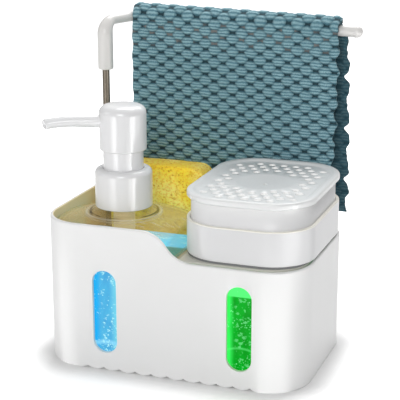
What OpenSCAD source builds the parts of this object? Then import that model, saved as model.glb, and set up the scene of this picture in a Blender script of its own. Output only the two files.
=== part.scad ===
// Kitchen-sink caddy: a case that holds a pump bottle, a press-top bottle, a sponge and a towel rail.
// Origin: the middle of the case's footprint, on the surface. X runs right along the front, Y to the back.

/* [Case] */
// Width of the case
case_w = 175; // [172:1:200]
// Depth of the case, front to back
case_d = 117.4; // [112:0.2:130]
// Height of the tall rim, round the pump bottle and the sponge
case_tall = 96; // [90:0.5:104]
// Height of the low rim, round the press bottle
case_low = 77.8; // [74:0.2:82]
// Radius of the case's upright corners
case_r = 28; // [22:0.5:32]
// Thickness of the case's walls
case_wall = 2.4; // [1.8:0.1:3.2]
// Thickness of the case's floor
case_floor = 2.4; // [2:0.1:3.2]
// Where the rim starts to fall, from the middle of the case
swoop_start = -16; // [-30:1:0]
// Length over which the rim falls
swoop_run = 34; // [26:1:44]
// Width of a level window in the front
window_w = 16.4; // [12:0.2:20]
// Height of a level window
window_h = 55; // [40:1:58]
// Height of a window's lower end above the surface
window_z = 12; // [9:0.5:18]
// Centre of the left window, from the middle of the case
window_left_x = -40.6; // [-50:0.2:-30]
// Centre of the right window, from the middle of the case
window_right_x = 48.6; // [38:0.2:55]
// Length of one scallop along the front's lower edge
scallop_pitch = 10.9; // [8:0.1:14]
// Height of the points between the scallops
scallop_h = 1.8; // [1:0.1:2.2]
// Number of scallops
scallop_count = 14; // [8:1:14]
// Diameter of a foot pad
foot_d = 14; // [8:1:20]
// Thickness of a foot pad, set flush in the floor
foot_t = 1.2; // [0.8:0.1:1.6]

/* [Pump bottle] */
// Thickness of both bottles' walls
bottle_wall = 1.6; // [1.2:0.1:2.2]
// Radius of the pump bottle's inner upright corners
bottle_corner = 9; // [5:0.5:12]
// Height of the pump bottle's shoulder at the neck
shoulder_z = 97.5; // [95:0.5:104]
// Radius of the dome that shapes the shoulder
shoulder_r = 122; // [105:1:160]
// Diameter of the neck
neck_d = 32.4; // [30:0.2:36]
// Height of the neck above the shoulder
neck_h = 10.5; // [8:0.5:14]
// Height of the blue soap's surface
blue_z = 72.6; // [40:0.2:76]

/* [Pump] */
// Diameter of the screw collar
collar_d = 37; // [36.6:0.2:42]
// Height of the screw collar
collar_h = 25; // [22:0.5:30]
// Diameter of the sleeve between the collar and the head
sleeve_d = 26; // [22:0.5:27]
// Diameter of the head
head_d = 30.3; // [29.6:0.1:36]
// Height of the head
head_h = 29.6; // [27:0.2:36]
// Travel of the head
pump_stroke = 11.5; // [8:0.5:11.5]
// Diameter of the nozzle
nozzle_d = 6.8; // [6:0.2:8]
// Bore of the nozzle
nozzle_bore = 4.4; // [3:0.2:4.6]
// Reach of the nozzle from the pump's axis
nozzle_reach = 51; // [40:1:60]
// Direction of the nozzle, seen from above, in degrees from +X
nozzle_turn = 206; // [180:1:270]
// Fall of the nozzle's last third, in degrees
nozzle_dip = 6; // [0:1:12]
// Diameter of the pump's cylinder
cylinder_d = 14; // [12:0.5:16]
// Diameter of the dip tubes
dip_d = 5; // [4:0.2:6]
// Diameter of the valve balls
ball_d = 5; // [4:0.2:6]
// Diameter of the spring wire
wire_d = 1; // [0.8:0.1:1.2]

/* [Press bottle] */
// Height of the low rim's shadow gap under the tray
tray_gap = 2; // [1.5:0.1:4]
// Height of the tray's wall
tray_h = 22.2; // [20:0.2:26]
// Thickness of the tray's wall
tray_wall = 2.2; // [1.6:0.1:3]
// Radius of the tray's upright corners
tray_r = 28; // [22:0.5:30]
// Travel of the press plate
press_stroke = 12; // [8:0.5:12]
// Thickness of the press plate at its lip
plate_h = 4.2; // [3.6:0.1:5.4]
// Diameter of the dish in the middle of the press plate
dish_d = 37; // [30:1:42]
// Depth of the dish
dish_h = 1.7; // [1:0.1:2]
// Diameter of a drain hole
drain_d = 4.6; // [3:0.2:5.4]
// Distance between drain holes
drain_pitch = 8.2; // [7.4:0.1:11]
// Diameter of the press pump's cylinder
press_cylinder_d = 18; // [16:0.5:22]
// Distance from the tray's side to the round plug under it, which enters the bottle
tray_plug_side = 13.25; // [8.25:0.25:21.25]
// Height of the green soap's surface
green_z = 75.4; // [40:0.2:76]

/* [Sponge] */
// Width of the sponge
sponge_w = 70; // [64:1:72]
// Height of the standing sponge
sponge_h = 110.5; // [95:0.5:120]
// Thickness of the sponge
sponge_t = 25; // [20:0.5:28]
// Radius of the sponge's corners
sponge_r = 9; // [5:0.5:14]
// Radius of the sponge's edges
sponge_edge = 2.5; // [1:0.5:4]

/* [Towel rail] */
// Diameter of the steel rod
rod_d = 5; // [4:0.1:6]
// Height of the middle of the rail above the surface
rail_z = 209.6; // [206:0.2:240]
// Diameter of the rail's bar
bar_d = 7.2; // [6:0.2:9]
// Drop of the bar's free end
rail_droop = 3.8; // [0:0.2:5]
// Length of the bar past the right side of the case
bar_over = 3.6; // [1:0.2:10]
// Distance from the case's back to the middle of the bar
bar_back = 9; // [9:0.1:14]
// Diameter of the sleeve on top of the rod
elbow_d = 10.6; // [9:0.2:13]
// Length of the sleeve on the rod
elbow_h = 33; // [26:1:40]

/* [Cloth] */
// Width of the cloth
cloth_w = 144; // [110:1:146]
// Thickness of the cloth
cloth_t = 4.4; // [3:0.1:4.5]
// Height of the cloth's lower edge above the surface
cloth_z = 85; // [60:1:120]
// Distance of the cloth's left edge from the left side of the case
cloth_x = 20.3; // [20.3:0.1:26]
// Depth of the soft waves in the hanging cloth
cloth_wave = 1.2; // [0.4:0.1:1.8]

/* [Hidden] */
$fn = 64;

// Overrun of every cut
over = 1;
// Gap between a bottle and the walls round it
bottle_gap = 0.6;
// Gap between a piece at rest and what it stands on
rest_gap = 0.2;
// Gap between two faces that seal
seal_gap = 0.05;
// Gap round a shaft or piston that slides or turns
running_gap = 0.05;
// Gap between a liquid and what it touches
liquid_gap = 0.2;

// Inner faces of the case
in_x = case_w / 2 - case_wall;
in_y = case_d / 2 - case_wall;
in_r = case_r - case_wall;

// Number of steps in each arc of the falling rim
swoop_steps = 16;

// Foot pads: distance of their centres from the case's outline, and the gap round them
foot_inset = 20;
foot_gap = 0.1;
foot_x = case_w / 2 - foot_inset;
foot_y = case_d / 2 - foot_inset;

// Scallops: depth of the flats at their feet and points, radius of their arcs, how deep they are cut into the
// wall, and the row's shift to the right
scallop_flat = 0.15;
scallop_rise = scallop_h + 2 * scallop_flat;
scallop_r = (pow(scallop_pitch / 2, 2) + pow(scallop_rise, 2)) / (2 * scallop_rise);
scallop_depth = 1.6;
scallop_shift = 1.3;

// Towel rail: its axis, the boss that holds the rod, and the socket in it
rail_inset = 5.6;
rail_to_back = 18.8;
boss_r = 4.5;
boss_h = 62;
socket_h = 42;
rail_x = -in_x + rail_inset;
rail_y = in_y - rail_to_back;
rod_r = rod_d / 2;
socket_z = boss_h - socket_h;

// Sponge: gaps round it, and the ribs that it stands on
sponge_side_gap = 3;
sponge_end_gap = 2.4;
sponge_front_gap = 3.2;
slot_spare = 11.3;
// Sponge's shape: how much fuller its faces are in the middle, sizes of the rings on a face, and steps
sponge_crown = 1.2;
sponge_face_shares = [0.75, 0.4];
sponge_edge_steps = 4;
sponge_corner_steps = 5;
slot_rib_h = 3.3;
slot_rib_w = 2;
slot_rib_inset = 12;
sponge_x = rail_x + boss_r + sponge_side_gap;
sponge_z = case_floor + slot_rib_h + rest_gap;

// Dividers on the case's floor: between the bottles, and between the pump bottle and the sponge
divider_t = 1.6;
divider_h = 42;
divider_x = sponge_x + sponge_w + sponge_end_gap;
slot_y = in_y - slot_spare - sponge_t - sponge_front_gap - divider_t;
sponge_y = slot_y + divider_t + sponge_front_gap;

// Pump bottle: box in plan as [left, right, front, back], corner radii from front left round, and its axis
bottle_z = case_floor + rest_gap;
pump_box = [-in_x + bottle_gap, divider_x - bottle_gap, -in_y + bottle_gap, slot_y - bottle_gap];
pump_corners = [in_r - bottle_gap, bottle_corner, bottle_corner, bottle_corner];
pump_x = (pump_box[0] + pump_box[1]) / 2;
pump_y = (pump_box[2] + pump_box[3]) / 2;
neck_r = neck_d / 2;
neck_wall = 2.4;
neck_bore_r = neck_r - neck_wall;
neck_z = shoulder_z + neck_h;
dome_z = shoulder_z - sqrt(pow(shoulder_r, 2) - pow(neck_r, 2));

// Pump: levels from the neck up, and radii from the cylinder out
gasket_t = 1;
flange_t = 2;
flange_gap = 0.2;
flange_r = neck_r - flange_gap;
flange_z = neck_z + seal_gap + gasket_t;
cylinder_r = cylinder_d / 2;
cylinder_wall = 1.3;
cylinder_bore_r = cylinder_r - cylinder_wall;
cylinder_below = 50;
cylinder_floor_t = 2;
cylinder_z = neck_z - cylinder_below;
nipple_wall = 1.2;
nipple_h = 9;
seat_r = dip_d / 2 - bottle_wall / 2;
dip_r = dip_d / 2;
dip_wall = 0.7;
dip_clear = 5;
dip_grip = 6;
collar_wall = 1.8;
collar_r = collar_d / 2;
collar_round = 4;
collar_below = 8;
collar_z = neck_z - collar_below;
collar_top = collar_z + collar_h;
collar_bore_gap = 0.3;
sleeve_r = sleeve_d / 2;
sleeve_wall = 1.8;
sleeve_gap = 0.35;
sleeve_foot_z = flange_z + flange_t + seal_gap;
head_clear = 0.5;
head_z = collar_top + pump_stroke + head_clear;
head_r = head_d / 2;
head_round = 5.5;
head_top = head_z + head_h;
head_cavity_h = 15;
head_cavity_r = sleeve_r + sleeve_gap;
sleeve_top = head_z + head_cavity_h - pump_stroke - head_clear;
stem_r = 3.6;
stem_wall = 1.5;
plug_h = 8;
seal_h = 6;
plug_gap = 0.1;
seal_top = sleeve_foot_z - plug_h - plug_gap;
socket_wall = 1.8;
socket_up = 3;

// Nozzle: height of its middle above the head's ceiling, the share of the reach that is level, and its root
nozzle_up = 3.8;
nozzle_z = head_z + head_cavity_h + nozzle_up;
nozzle_r = nozzle_d / 2;
nozzle_level_share = 0.66;
nozzle_level = nozzle_reach * nozzle_level_share;
nozzle_root = 5;
nozzle_fit = 0.05;
// Nozzle's bend: its length, and the steps and sides of the tube
nozzle_bend = 9;
nozzle_steps = 4;
nozzle_sides = 32;

// Springs: steps in a turn, sides of the wire, and the gap at a spring's ends
spring_turns = 6;
spring_steps = 12;
spring_sides = 6;
spring_gap = 0.2;
wire_r = wire_d / 2;
ball_r = ball_d / 2;
ball_gap = 0.1;

// Press bottle: box in plan, corner radii, and the press pump's axis
press_bottle_corner = 8;
press_box = [divider_x + divider_t + bottle_gap, in_x - bottle_gap, -in_y + bottle_gap, in_y - bottle_gap];
press_corners = [press_bottle_corner, in_r - bottle_gap, in_r - bottle_gap, press_bottle_corner];

// Tray: gaps to the divider and to the case's inner walls, its deck, and the plug that enters the bottle
tray_side_gap = 3;
tray_end_gap = 1.8;
tray_box = [divider_x + divider_t + tray_side_gap, case_w / 2, -in_y + tray_end_gap, in_y - tray_end_gap];
tray_z = case_low + tray_gap;
tray_top = tray_z + tray_h;
deck_t = 2.2;
deck_z = tray_z + deck_t;
press_gasket_t = 1.1;
press_gasket_inset = 0.4;
press_gasket_gap = 0.1;
press_bottle_top = tray_z - press_gasket_t - seal_gap;
// Thickness of the bottle's top, and the height, gap and wall of the plug that goes through the hole in it
press_rim_t = 1.6;
tray_plug_r = (tray_box[1] - tray_box[0]) / 2 - tray_plug_side;
tray_plug_h = 3.6;
tray_plug_gap = 0.3;
tray_plug_wall = 1.6;
press_x = (tray_box[0] + tray_box[1]) / 2;
press_y = (tray_box[2] + tray_box[3]) / 2;

// Press pump: cylinder, chaplet, stem and piston
press_cylinder_r = press_cylinder_d / 2;
press_cylinder_wall = 1.8;
press_bore_r = press_cylinder_r - press_cylinder_wall;
press_cylinder_below = 38;
press_cylinder_z = deck_z - press_cylinder_below;
press_flange_w = 3;
press_flange_t = 1.8;
press_hole_gap = 0.1;
press_chaplet_h = 5;
press_plug_h = 4;
press_chaplet_z = deck_z + seal_gap + press_flange_t + seal_gap;
press_stem_r = 4;
press_stem_wall = 1.6;
press_seal_h = 6;
press_seal_top = press_chaplet_z - press_plug_h - plug_gap;

// Press plate and its skirt
skirt_gap = 0.4;
skirt_wall = 1.8;
skirt_clear = 0.6;
skirt_z = deck_z + press_stroke + skirt_clear;
plate_clear = 1.3;
plate_z = tray_top + press_stroke + plate_clear;
plate_top = plate_z + plate_h;
lip_w = 5;
field_h = 1.5;
dish_rim = 3;
hub_t = 2.4;
outlet_r = 1.6;
drain_margin = 1.2;
dish_r = dish_d / 2;
// Radius of the sphere that hollows the dish
dish_ball_r = (pow(dish_r, 2) + pow(dish_h, 2)) / (2 * dish_h);

// Rail arm: the crank behind the case, and the knob at the bar's end
crank_x = 9;
bend_r = 6;
elbow_bend_r = 9;
arm_steps = 7;
arm_sides = 20;
bar_y = case_d / 2 + bar_back;
bar_r = bar_d / 2;
elbow_r = elbow_d / 2;
bar_end = case_w / 2 + bar_over;
knob_r = 4;
// Angle at which the knob's round end is cut flat
knob_tip_a = 75;
rod_grip = 22;
rod_fit = 0.05;
elbow_z = rail_z - elbow_h;

// Cloth: gap round the bar, how far its back layer sits to the right, and the numbers of points
cloth_gap = 0.6;
cloth_shift = 4;
cloth_leg_steps = 8;
cloth_arc_steps = 8;
cloth_columns = 20;
cloth_waves = 2.5;
cloth_mid_r = bar_r + cloth_gap + cloth_t / 2;
cloth_left = -case_w / 2 + cloth_x;

// Colours
WHITE = [0.93, 0.93, 0.93];
CLEAR = [0.85, 0.84, 0.8, 0.35];
BLUE = [0.2, 0.68, 0.92, 0.85];
GREEN = [0.02, 0.7, 0.15, 0.85];
RUBBER = [0.55, 0.55, 0.56];
STEEL = [0.55, 0.53, 0.5];
YELLOW = [0.93, 0.84, 0.25];
TEAL = [0.36, 0.58, 0.62];

// Rectangle with round corners, centred
module round_rect(w, d, r) {
    square([w - 2 * r, d], center = true);
    square([w, d - 2 * r], center = true);
    for (sx = [-1, 1], sy = [-1, 1]) translate([sx * (w / 2 - r), sy * (d / 2 - r)]) circle(r);
}

// Box in plan [left, right, front, back] with its own radius at each corner, drawn in by inset
module plan(box, radii, inset = 0) {
    x0 = box[0] + inset;
    x1 = box[1] - inset;
    y0 = box[2] + inset;
    y1 = box[3] - inset;
    r = [for (v = radii) v - inset];
    polygon([
        [x0 + r[0], y0], [x1 - r[1], y0], [x1, y0 + r[1]], [x1, y1 - r[2]],
        [x1 - r[2], y1], [x0 + r[3], y1], [x0, y1 - r[3]], [x0, y0 + r[0]]
    ]);
    translate([x0 + r[0], y0 + r[0]]) circle(r[0]);
    translate([x1 - r[1], y0 + r[1]]) circle(r[1]);
    translate([x1 - r[2], y1 - r[2]]) circle(r[2]);
    translate([x0 + r[3], y1 - r[3]]) circle(r[3]);
}

// Upright slab of a plan between two heights
module slab(z0, z1) {
    translate([0, 0, z0]) linear_extrude(z1 - z0) children();
}

// Tube or disc round the Z axis
module ring(r_out, r_in, z0, z1) {
    difference() {
        translate([0, 0, z0]) cylinder(r = r_out, h = z1 - z0);
        if (r_in > 0) translate([0, 0, z0 - over]) cylinder(r = r_in, h = z1 - z0 + 2 * over);
    }
}

// Points along an arc from angle a0 to angle a1
function arc(centre, r, a0, a1, steps = 8) =
    [for (i = [0:steps]) let (a = a0 + (a1 - a0) * i / steps) centre + r * [cos(a), sin(a)]];

// Round piece with a flat foot and a rounded top edge
module puck(r, edge, z0, z1) {
    rotate_extrude() polygon(concat(
        [[0, z0], [r, z0]],
        arc([r - edge, z1 - edge], edge, 0, 90),
        [[0, z1]]
    ));
}

// Stadium outline standing on its end
module stadium(w, h) {
    square([w, h - w], center = true);
    for (s = [-1, 1]) translate([0, s * (h - w) / 2]) circle(w / 2);
}

// Drawing in X and Z, pushed along Y from y0 to y1
module across(y0, y1) {
    translate([0, y1, 0]) rotate([90, 0, 0]) linear_extrude(y1 - y0) children();
}

// Round wire wound as an open helix of equal steps
module spring(r, z0, z1) {
    rise = z1 - z0;
    steps = spring_turns * spring_steps;
    points = [
        for (i = [0:steps], k = [0:spring_sides - 1])
            let (
                a = 360 * i / spring_steps,
                b = 360 * k / spring_sides,
                out = [cos(a), sin(a), 0],
                run = [-sin(a) * 2 * PI * r * spring_turns, cos(a) * 2 * PI * r * spring_turns, rise],
                side = cross(out, run / norm(run))
            )
            [r * cos(a), r * sin(a), z0 + rise * i / steps] + wire_r * (cos(b) * out + sin(b) * side)
    ];
    walls = [
        for (i = [0:steps - 1], k = [0:spring_sides - 1])
            let (a = i * spring_sides, next = (k + 1) % spring_sides)
            for (f = [
                [a + k, a + spring_sides + k, a + spring_sides + next],
                [a + k, a + spring_sides + next, a + next]
            ]) f
    ];
    first = [for (k = [0:spring_sides - 1]) k];
    last = [for (k = [spring_sides - 1:-1:0]) steps * spring_sides + k];
    polyhedron(points, concat(walls, [first, last]));
}

module outer_case() {
    color(WHITE) difference() {
        union() {
            difference() {
                slab(0, case_tall) round_rect(case_w, case_d, case_r);
                slab(case_floor, case_tall + over) round_rect(2 * in_x, 2 * in_y, in_r);
            }
            intersection() {
                slab(0, case_tall) round_rect(case_w - case_wall, case_d - case_wall, case_r - case_wall / 2);
                case_fittings();
            }
        }
        across(-case_d, case_d) swoop();
        for (x = [window_left_x, window_right_x]) {
            across(-case_d / 2 - over, -in_y + over)
                translate([x, window_z + window_h / 2]) stadium(window_w, window_h);
        }
        scallops();
        for (sx = [-1, 1], sy = [-1, 1]) {
            translate([sx * foot_x, sy * foot_y, -over])
                cylinder(d = foot_d + 2 * foot_gap, h = foot_t + over);
        }
        translate([rail_x, rail_y, socket_z]) cylinder(r = rod_r + running_gap, h = socket_h + over);
    }
}

// Dividers, ribs under the sponge and the boss of the towel rail, all standing on the floor
module case_fittings() {
    translate([divider_x, -in_y - case_wall / 2, case_floor / 2])
        cube([divider_t, 2 * in_y + case_wall, divider_h - case_floor / 2]);
    translate([-in_x - case_wall / 2, slot_y, case_floor / 2])
        cube([divider_x + in_x + case_wall, divider_t, divider_h - case_floor / 2]);
    for (x = [sponge_x + slot_rib_inset, sponge_x + sponge_w - slot_rib_inset]) {
        translate([x - slot_rib_w / 2, slot_y + divider_t / 2, case_floor / 2])
            cube([slot_rib_w, in_y - slot_y, case_floor / 2 + slot_rib_h]);
    }
    translate([rail_x, rail_y, case_floor / 2]) cylinder(r = boss_r, h = boss_h - case_floor / 2);
}

// What is cut off above the rim on the right: two equal arcs lead from the tall rim to the low one
module swoop() {
    drop = case_tall - case_low;
    r = (pow(swoop_run, 2) + pow(drop, 2)) / (4 * drop);
    sweep = asin(swoop_run / 2 / r);
    step = sweep / swoop_steps;
    end_x = swoop_start + swoop_run;
    past_x = case_w / 2 + over;
    polygon(concat(
        [[swoop_start, case_tall + over]],
        arc([swoop_start, case_tall - r], r, 90, 90 - sweep, swoop_steps),
        arc([end_x, case_low + r], r, 270 - sweep + step, 270, swoop_steps - 1),
        [[past_x, case_low], [past_x, case_tall + over]]
    ));
}

// Row of notches between round scallops, cut into the outer face of the front wall
module scallops() {
    row = scallop_pitch * scallop_count;
    difference() {
        across(-case_d / 2 - over, -case_d / 2 + case_r / 2) difference() {
            translate([scallop_shift - row / 2, -over]) square([row, over + scallop_h]);
            for (i = [0:scallop_count - 1]) {
                translate([scallop_shift - row / 2 + (i + 1 / 2) * scallop_pitch, scallop_r - scallop_flat])
                    circle(scallop_r);
            }
        }
        slab(-over, scallop_h + over)
            round_rect(case_w - 2 * scallop_depth, case_d - 2 * scallop_depth, case_r - scallop_depth);
    }
}

module foot_pads() {
    color(RUBBER) for (sx = [-1, 1], sy = [-1, 1]) {
        translate([sx * foot_x, sy * foot_y, 0]) cylinder(d = foot_d, h = foot_t - seal_gap);
    }
}

// Body of the pump bottle under its dome, drawn in by inset
module pump_bottle_body(inset) {
    intersection() {
        slab(bottle_z + inset, shoulder_z + over) plan(pump_box, pump_corners, inset);
        translate([pump_x, pump_y, dome_z]) sphere(shoulder_r - inset, $fn = 160);
    }
}

module pump_bottle() {
    color(CLEAR) difference() {
        union() {
            pump_bottle_body(0);
            translate([pump_x, pump_y, 0]) ring(neck_r, 0, shoulder_z - neck_h, neck_z);
        }
        pump_bottle_body(bottle_wall);
        translate([pump_x, pump_y, 0]) ring(neck_bore_r, 0, shoulder_z - neck_h - over, neck_z + over);
    }
}

module blue_soap() {
    color(BLUE) difference() {
        slab(bottle_z + bottle_wall + liquid_gap, blue_z)
            plan(pump_box, pump_corners, bottle_wall + liquid_gap);
        translate([pump_x, pump_y, 0])
            ring(cylinder_r + over, 0, cylinder_z - nipple_h - over, blue_z + over);
        translate([pump_x, pump_y, 0]) ring(dip_r + over, 0, bottle_z, blue_z);
    }
}

// Cylinder with a flange at its top and a nipple for the dip tube at its foot
module cylinder_body(r, bore, z0, z1, flange, flange_h) {
    difference() {
        union() {
            ring(r, 0, z0, z1);
            ring(flange, 0, z1 - flange_h, z1);
            ring(dip_r + nipple_wall, 0, z0 - nipple_h, z0 + over);
        }
        ring(bore, 0, z0 + cylinder_floor_t, z1 + over);
        ring(seat_r, 0, z0 - nipple_h - over, z0 + cylinder_floor_t + over);
        ring(dip_r + rod_fit, 0, z0 - nipple_h - over, z0 - nipple_h + dip_grip);
    }
}

module pump_cylinder() {
    color(WHITE) translate([pump_x, pump_y, 0])
        cylinder_body(cylinder_r, cylinder_bore_r, cylinder_z, flange_z + flange_t, flange_r, flange_t);
}

module pump_gasket() {
    color(RUBBER) translate([pump_x, pump_y, 0])
        ring(flange_r, neck_bore_r, neck_z + seal_gap, flange_z - seal_gap);
}

// Chaplet: a plug in the cylinder that guides the stem, a foot on its flange, and the sleeve that shows
module pump_chaplet() {
    color(WHITE) translate([pump_x, pump_y, 0]) difference() {
        union() {
            ring(cylinder_bore_r - running_gap, 0, sleeve_foot_z - plug_h, sleeve_foot_z + over);
            ring(sleeve_r, 0, sleeve_foot_z, sleeve_foot_z + sleeve_wall);
            ring(sleeve_r, sleeve_r - sleeve_wall, sleeve_foot_z, sleeve_top);
        }
        ring(stem_r + running_gap, 0, sleeve_foot_z - plug_h - over, sleeve_top);
    }
}

module pump_dip_tube() {
    color(CLEAR) translate([pump_x, pump_y, 0]) ring(
        dip_r, dip_r - dip_wall,
        bottle_z + bottle_wall + dip_clear, cylinder_z - nipple_h + dip_grip - seal_gap
    );
}

module pump_spring() {
    color(STEEL) translate([pump_x, pump_y, 0]) spring(
        cylinder_bore_r - wire_r - spring_gap,
        cylinder_z + cylinder_floor_t + wire_r + spring_gap,
        seal_top - seal_h - wire_r - spring_gap
    );
}

module pump_ball() {
    color(STEEL) translate([pump_x, pump_y, ball_seat_z(cylinder_z)]) sphere(ball_r);
}

// Height of a ball's centre where it sits in the hole of the cylinder's floor
function ball_seat_z(z) = z + cylinder_floor_t + sqrt(pow(ball_r, 2) - pow(seat_r, 2)) + ball_gap;

module screw_collar() {
    color(WHITE) translate([pump_x, pump_y, 0]) difference() {
        puck(collar_r, collar_round, collar_z, collar_top);
        ring(collar_r - collar_wall, 0, collar_z - over, sleeve_foot_z);
        ring(sleeve_r + collar_bore_gap, 0, collar_z, collar_top + over);
    }
}

module pump_stem() {
    color(WHITE) translate([pump_x, pump_y, 0])
        ring(stem_r, stem_r - stem_wall, seal_top - seal_h, nozzle_z - socket_up);
}

module pump_piston_seal() {
    color(RUBBER) translate([pump_x, pump_y, 0])
        ring(cylinder_bore_r - running_gap, stem_r + running_gap, seal_top - seal_h, seal_top);
}

module pump_head() {
    color(WHITE) translate([pump_x, pump_y, 0]) difference() {
        puck(head_r, head_round, head_z, head_top);
        ring(head_cavity_r, stem_r + socket_wall, head_z - over, head_z + head_cavity_h);
        ring(stem_r + running_gap, 0, head_z - over, nozzle_z - socket_up + seal_gap);
        ring(stem_r - stem_wall, 0, head_z, nozzle_z);
        rotate([0, 0, nozzle_turn]) translate([0, 0, nozzle_z]) rotate([0, 90, 0]) {
            ring(nozzle_bore / 2, 0, 0, head_r);
            ring(nozzle_r + nozzle_fit, 0, head_r - nozzle_root, head_r + over);
        }
    }
}

// Stations of the nozzle's middle as [along, height, fall in degrees]: a level run, an arc and a straight end
function nozzle_stations() =
    let (
        arc_r = nozzle_bend / (PI * nozzle_dip / 180),
        start = nozzle_level - nozzle_bend / 2,
        end = [start + arc_r * sin(nozzle_dip), -arc_r * (1 - cos(nozzle_dip))],
        rest = nozzle_reach - start - nozzle_bend
    )
    concat(
        [[head_r - nozzle_root + seal_gap, 0, 0]],
        [for (i = [0:nozzle_steps]) let (a = nozzle_dip * i / nozzle_steps)
            [start + arc_r * sin(a), -arc_r * (1 - cos(a)), a]],
        [[end[0] + rest * cos(nozzle_dip), end[1] - rest * sin(nozzle_dip), nozzle_dip]]
    );

// Points of a tube of radius r round the nozzle's middle
function nozzle_skin(r) = [
    for (s = nozzle_stations(), k = [0:nozzle_sides - 1])
        let (b = 360 * (k + 1 / 2) / nozzle_sides)
        [s[0] + r * sin(b) * sin(s[2]), r * cos(b), s[1] + r * sin(b) * cos(s[2])]
];

// Tube that leaves the head level and falls a little at its end
module pump_nozzle() {
    n = nozzle_sides;
    last = len(nozzle_stations()) - 1;
    m = (last + 1) * n;
    outer = [for (i = [0:last - 1], k = [0:n - 1]) let (a = i * n, next = (k + 1) % n)
        for (f = [[a + k, a + next, a + n + next], [a + k, a + n + next, a + n + k]]) f];
    inner = [for (f = outer) [f[0] + m, f[2] + m, f[1] + m]];
    ends = [for (k = [0:n - 1]) let (next = (k + 1) % n, b = last * n)
        for (f = [
            [next, k, m + k], [next, m + k, m + next],
            [b + k, b + next, b + m + next], [b + k, b + m + next, b + m + k]
        ]) f];
    color(WHITE) translate([pump_x, pump_y, nozzle_z]) rotate([0, 0, nozzle_turn])
        polyhedron(concat(nozzle_skin(nozzle_r), nozzle_skin(nozzle_bore / 2)), concat(outer, inner, ends));
}

module press_bottle() {
    color(CLEAR) difference() {
        slab(bottle_z, press_bottle_top) plan(press_box, press_corners);
        slab(bottle_z + bottle_wall, press_bottle_top - press_rim_t)
            plan(press_box, press_corners, bottle_wall);
        translate([press_x, press_y, 0])
            ring(tray_plug_r + tray_plug_gap, 0, press_bottle_top - press_rim_t - over, press_bottle_top + over);
    }
}

module green_soap() {
    color(GREEN) difference() {
        slab(bottle_z + bottle_wall + liquid_gap, green_z)
            plan(press_box, press_corners, bottle_wall + liquid_gap);
        translate([press_x, press_y, 0])
            ring(press_cylinder_r + over, 0, press_cylinder_z - nipple_h - over, green_z + over);
        translate([press_x, press_y, 0]) ring(dip_r + over, 0, bottle_z, green_z);
    }
}

// Outline of the tray, the skirt and the plate, drawn in by inset
module tray_plan(inset = 0) {
    plan(tray_box, [tray_r, tray_r, tray_r, tray_r], inset);
}

module press_tray() {
    color(WHITE) difference() {
        union() {
            slab(tray_z, tray_top) tray_plan();
            translate([press_x, press_y, 0])
                ring(tray_plug_r, tray_plug_r - tray_plug_wall, tray_z - tray_plug_h, tray_z + deck_t / 2);
        }
        slab(deck_z, tray_top + over) tray_plan(tray_wall);
        translate([press_x, press_y, 0])
            ring(press_cylinder_r + press_hole_gap, 0, tray_z - over, deck_z + over);
    }
}

module tray_gasket() {
    color(RUBBER) slab(press_bottle_top + seal_gap, tray_z) difference() {
        intersection() {
            plan(press_box, press_corners);
            tray_plan(press_gasket_inset);
        }
        translate([press_x, press_y]) circle(tray_plug_r + press_gasket_gap);
    }
}

module press_cylinder() {
    color(WHITE) translate([press_x, press_y, 0]) cylinder_body(
        press_cylinder_r, press_bore_r, press_cylinder_z, deck_z + seal_gap + press_flange_t,
        press_cylinder_r + press_flange_w, press_flange_t
    );
}

module press_chaplet() {
    color(WHITE) translate([press_x, press_y, 0]) difference() {
        union() {
            ring(press_bore_r - running_gap, 0, press_chaplet_z - press_plug_h, press_chaplet_z + over);
            ring(press_cylinder_r + press_flange_w, 0, press_chaplet_z, press_chaplet_z + press_chaplet_h);
        }
        ring(press_stem_r + running_gap, 0, press_chaplet_z - press_plug_h - over, plate_z);
    }
}

module press_dip_tube() {
    color(CLEAR) translate([press_x, press_y, 0]) ring(
        dip_r, dip_r - dip_wall,
        bottle_z + bottle_wall + dip_clear, press_cylinder_z - nipple_h + dip_grip - seal_gap
    );
}

module press_spring() {
    color(STEEL) translate([press_x, press_y, 0]) spring(
        press_bore_r - wire_r - spring_gap,
        press_cylinder_z + cylinder_floor_t + wire_r + spring_gap,
        press_seal_top - press_seal_h - wire_r - spring_gap
    );
}

module press_ball() {
    color(STEEL) translate([press_x, press_y, ball_seat_z(press_cylinder_z)]) sphere(ball_r);
}

module press_stem() {
    color(WHITE) translate([press_x, press_y, 0])
        ring(press_stem_r, press_stem_r - press_stem_wall, press_seal_top - press_seal_h, plate_z - hub_t);
}

module press_piston_seal() {
    color(RUBBER) translate([press_x, press_y, 0]) ring(
        press_bore_r - running_gap, press_stem_r + running_gap,
        press_seal_top - press_seal_h, press_seal_top
    );
}

module press_skirt() {
    color(WHITE) difference() {
        slab(skirt_z, plate_z) tray_plan(tray_wall + skirt_gap);
        slab(skirt_z - over, plate_z + over) tray_plan(tray_wall + skirt_gap + skirt_wall);
    }
}

// Plate with a raised lip, a dish that takes the soap from the stem, and drain holes all round it
module press_plate() {
    color(WHITE) difference() {
        union() {
            slab(plate_z, plate_top) tray_plan();
            translate([press_x, press_y, 0]) ring(dish_r + dish_rim, 0, plate_z - hub_t, plate_z + over);
        }
        slab(plate_top - field_h, plate_top + over) tray_plan(lip_w);
        translate([press_x, press_y, plate_top - field_h - dish_h + dish_ball_r])
            sphere(dish_ball_r, $fn = 160);
        translate([press_x, press_y, 0]) ring(outlet_r, 0, plate_z - hub_t - over, plate_top);
        drain_holes();
    }
}

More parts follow.
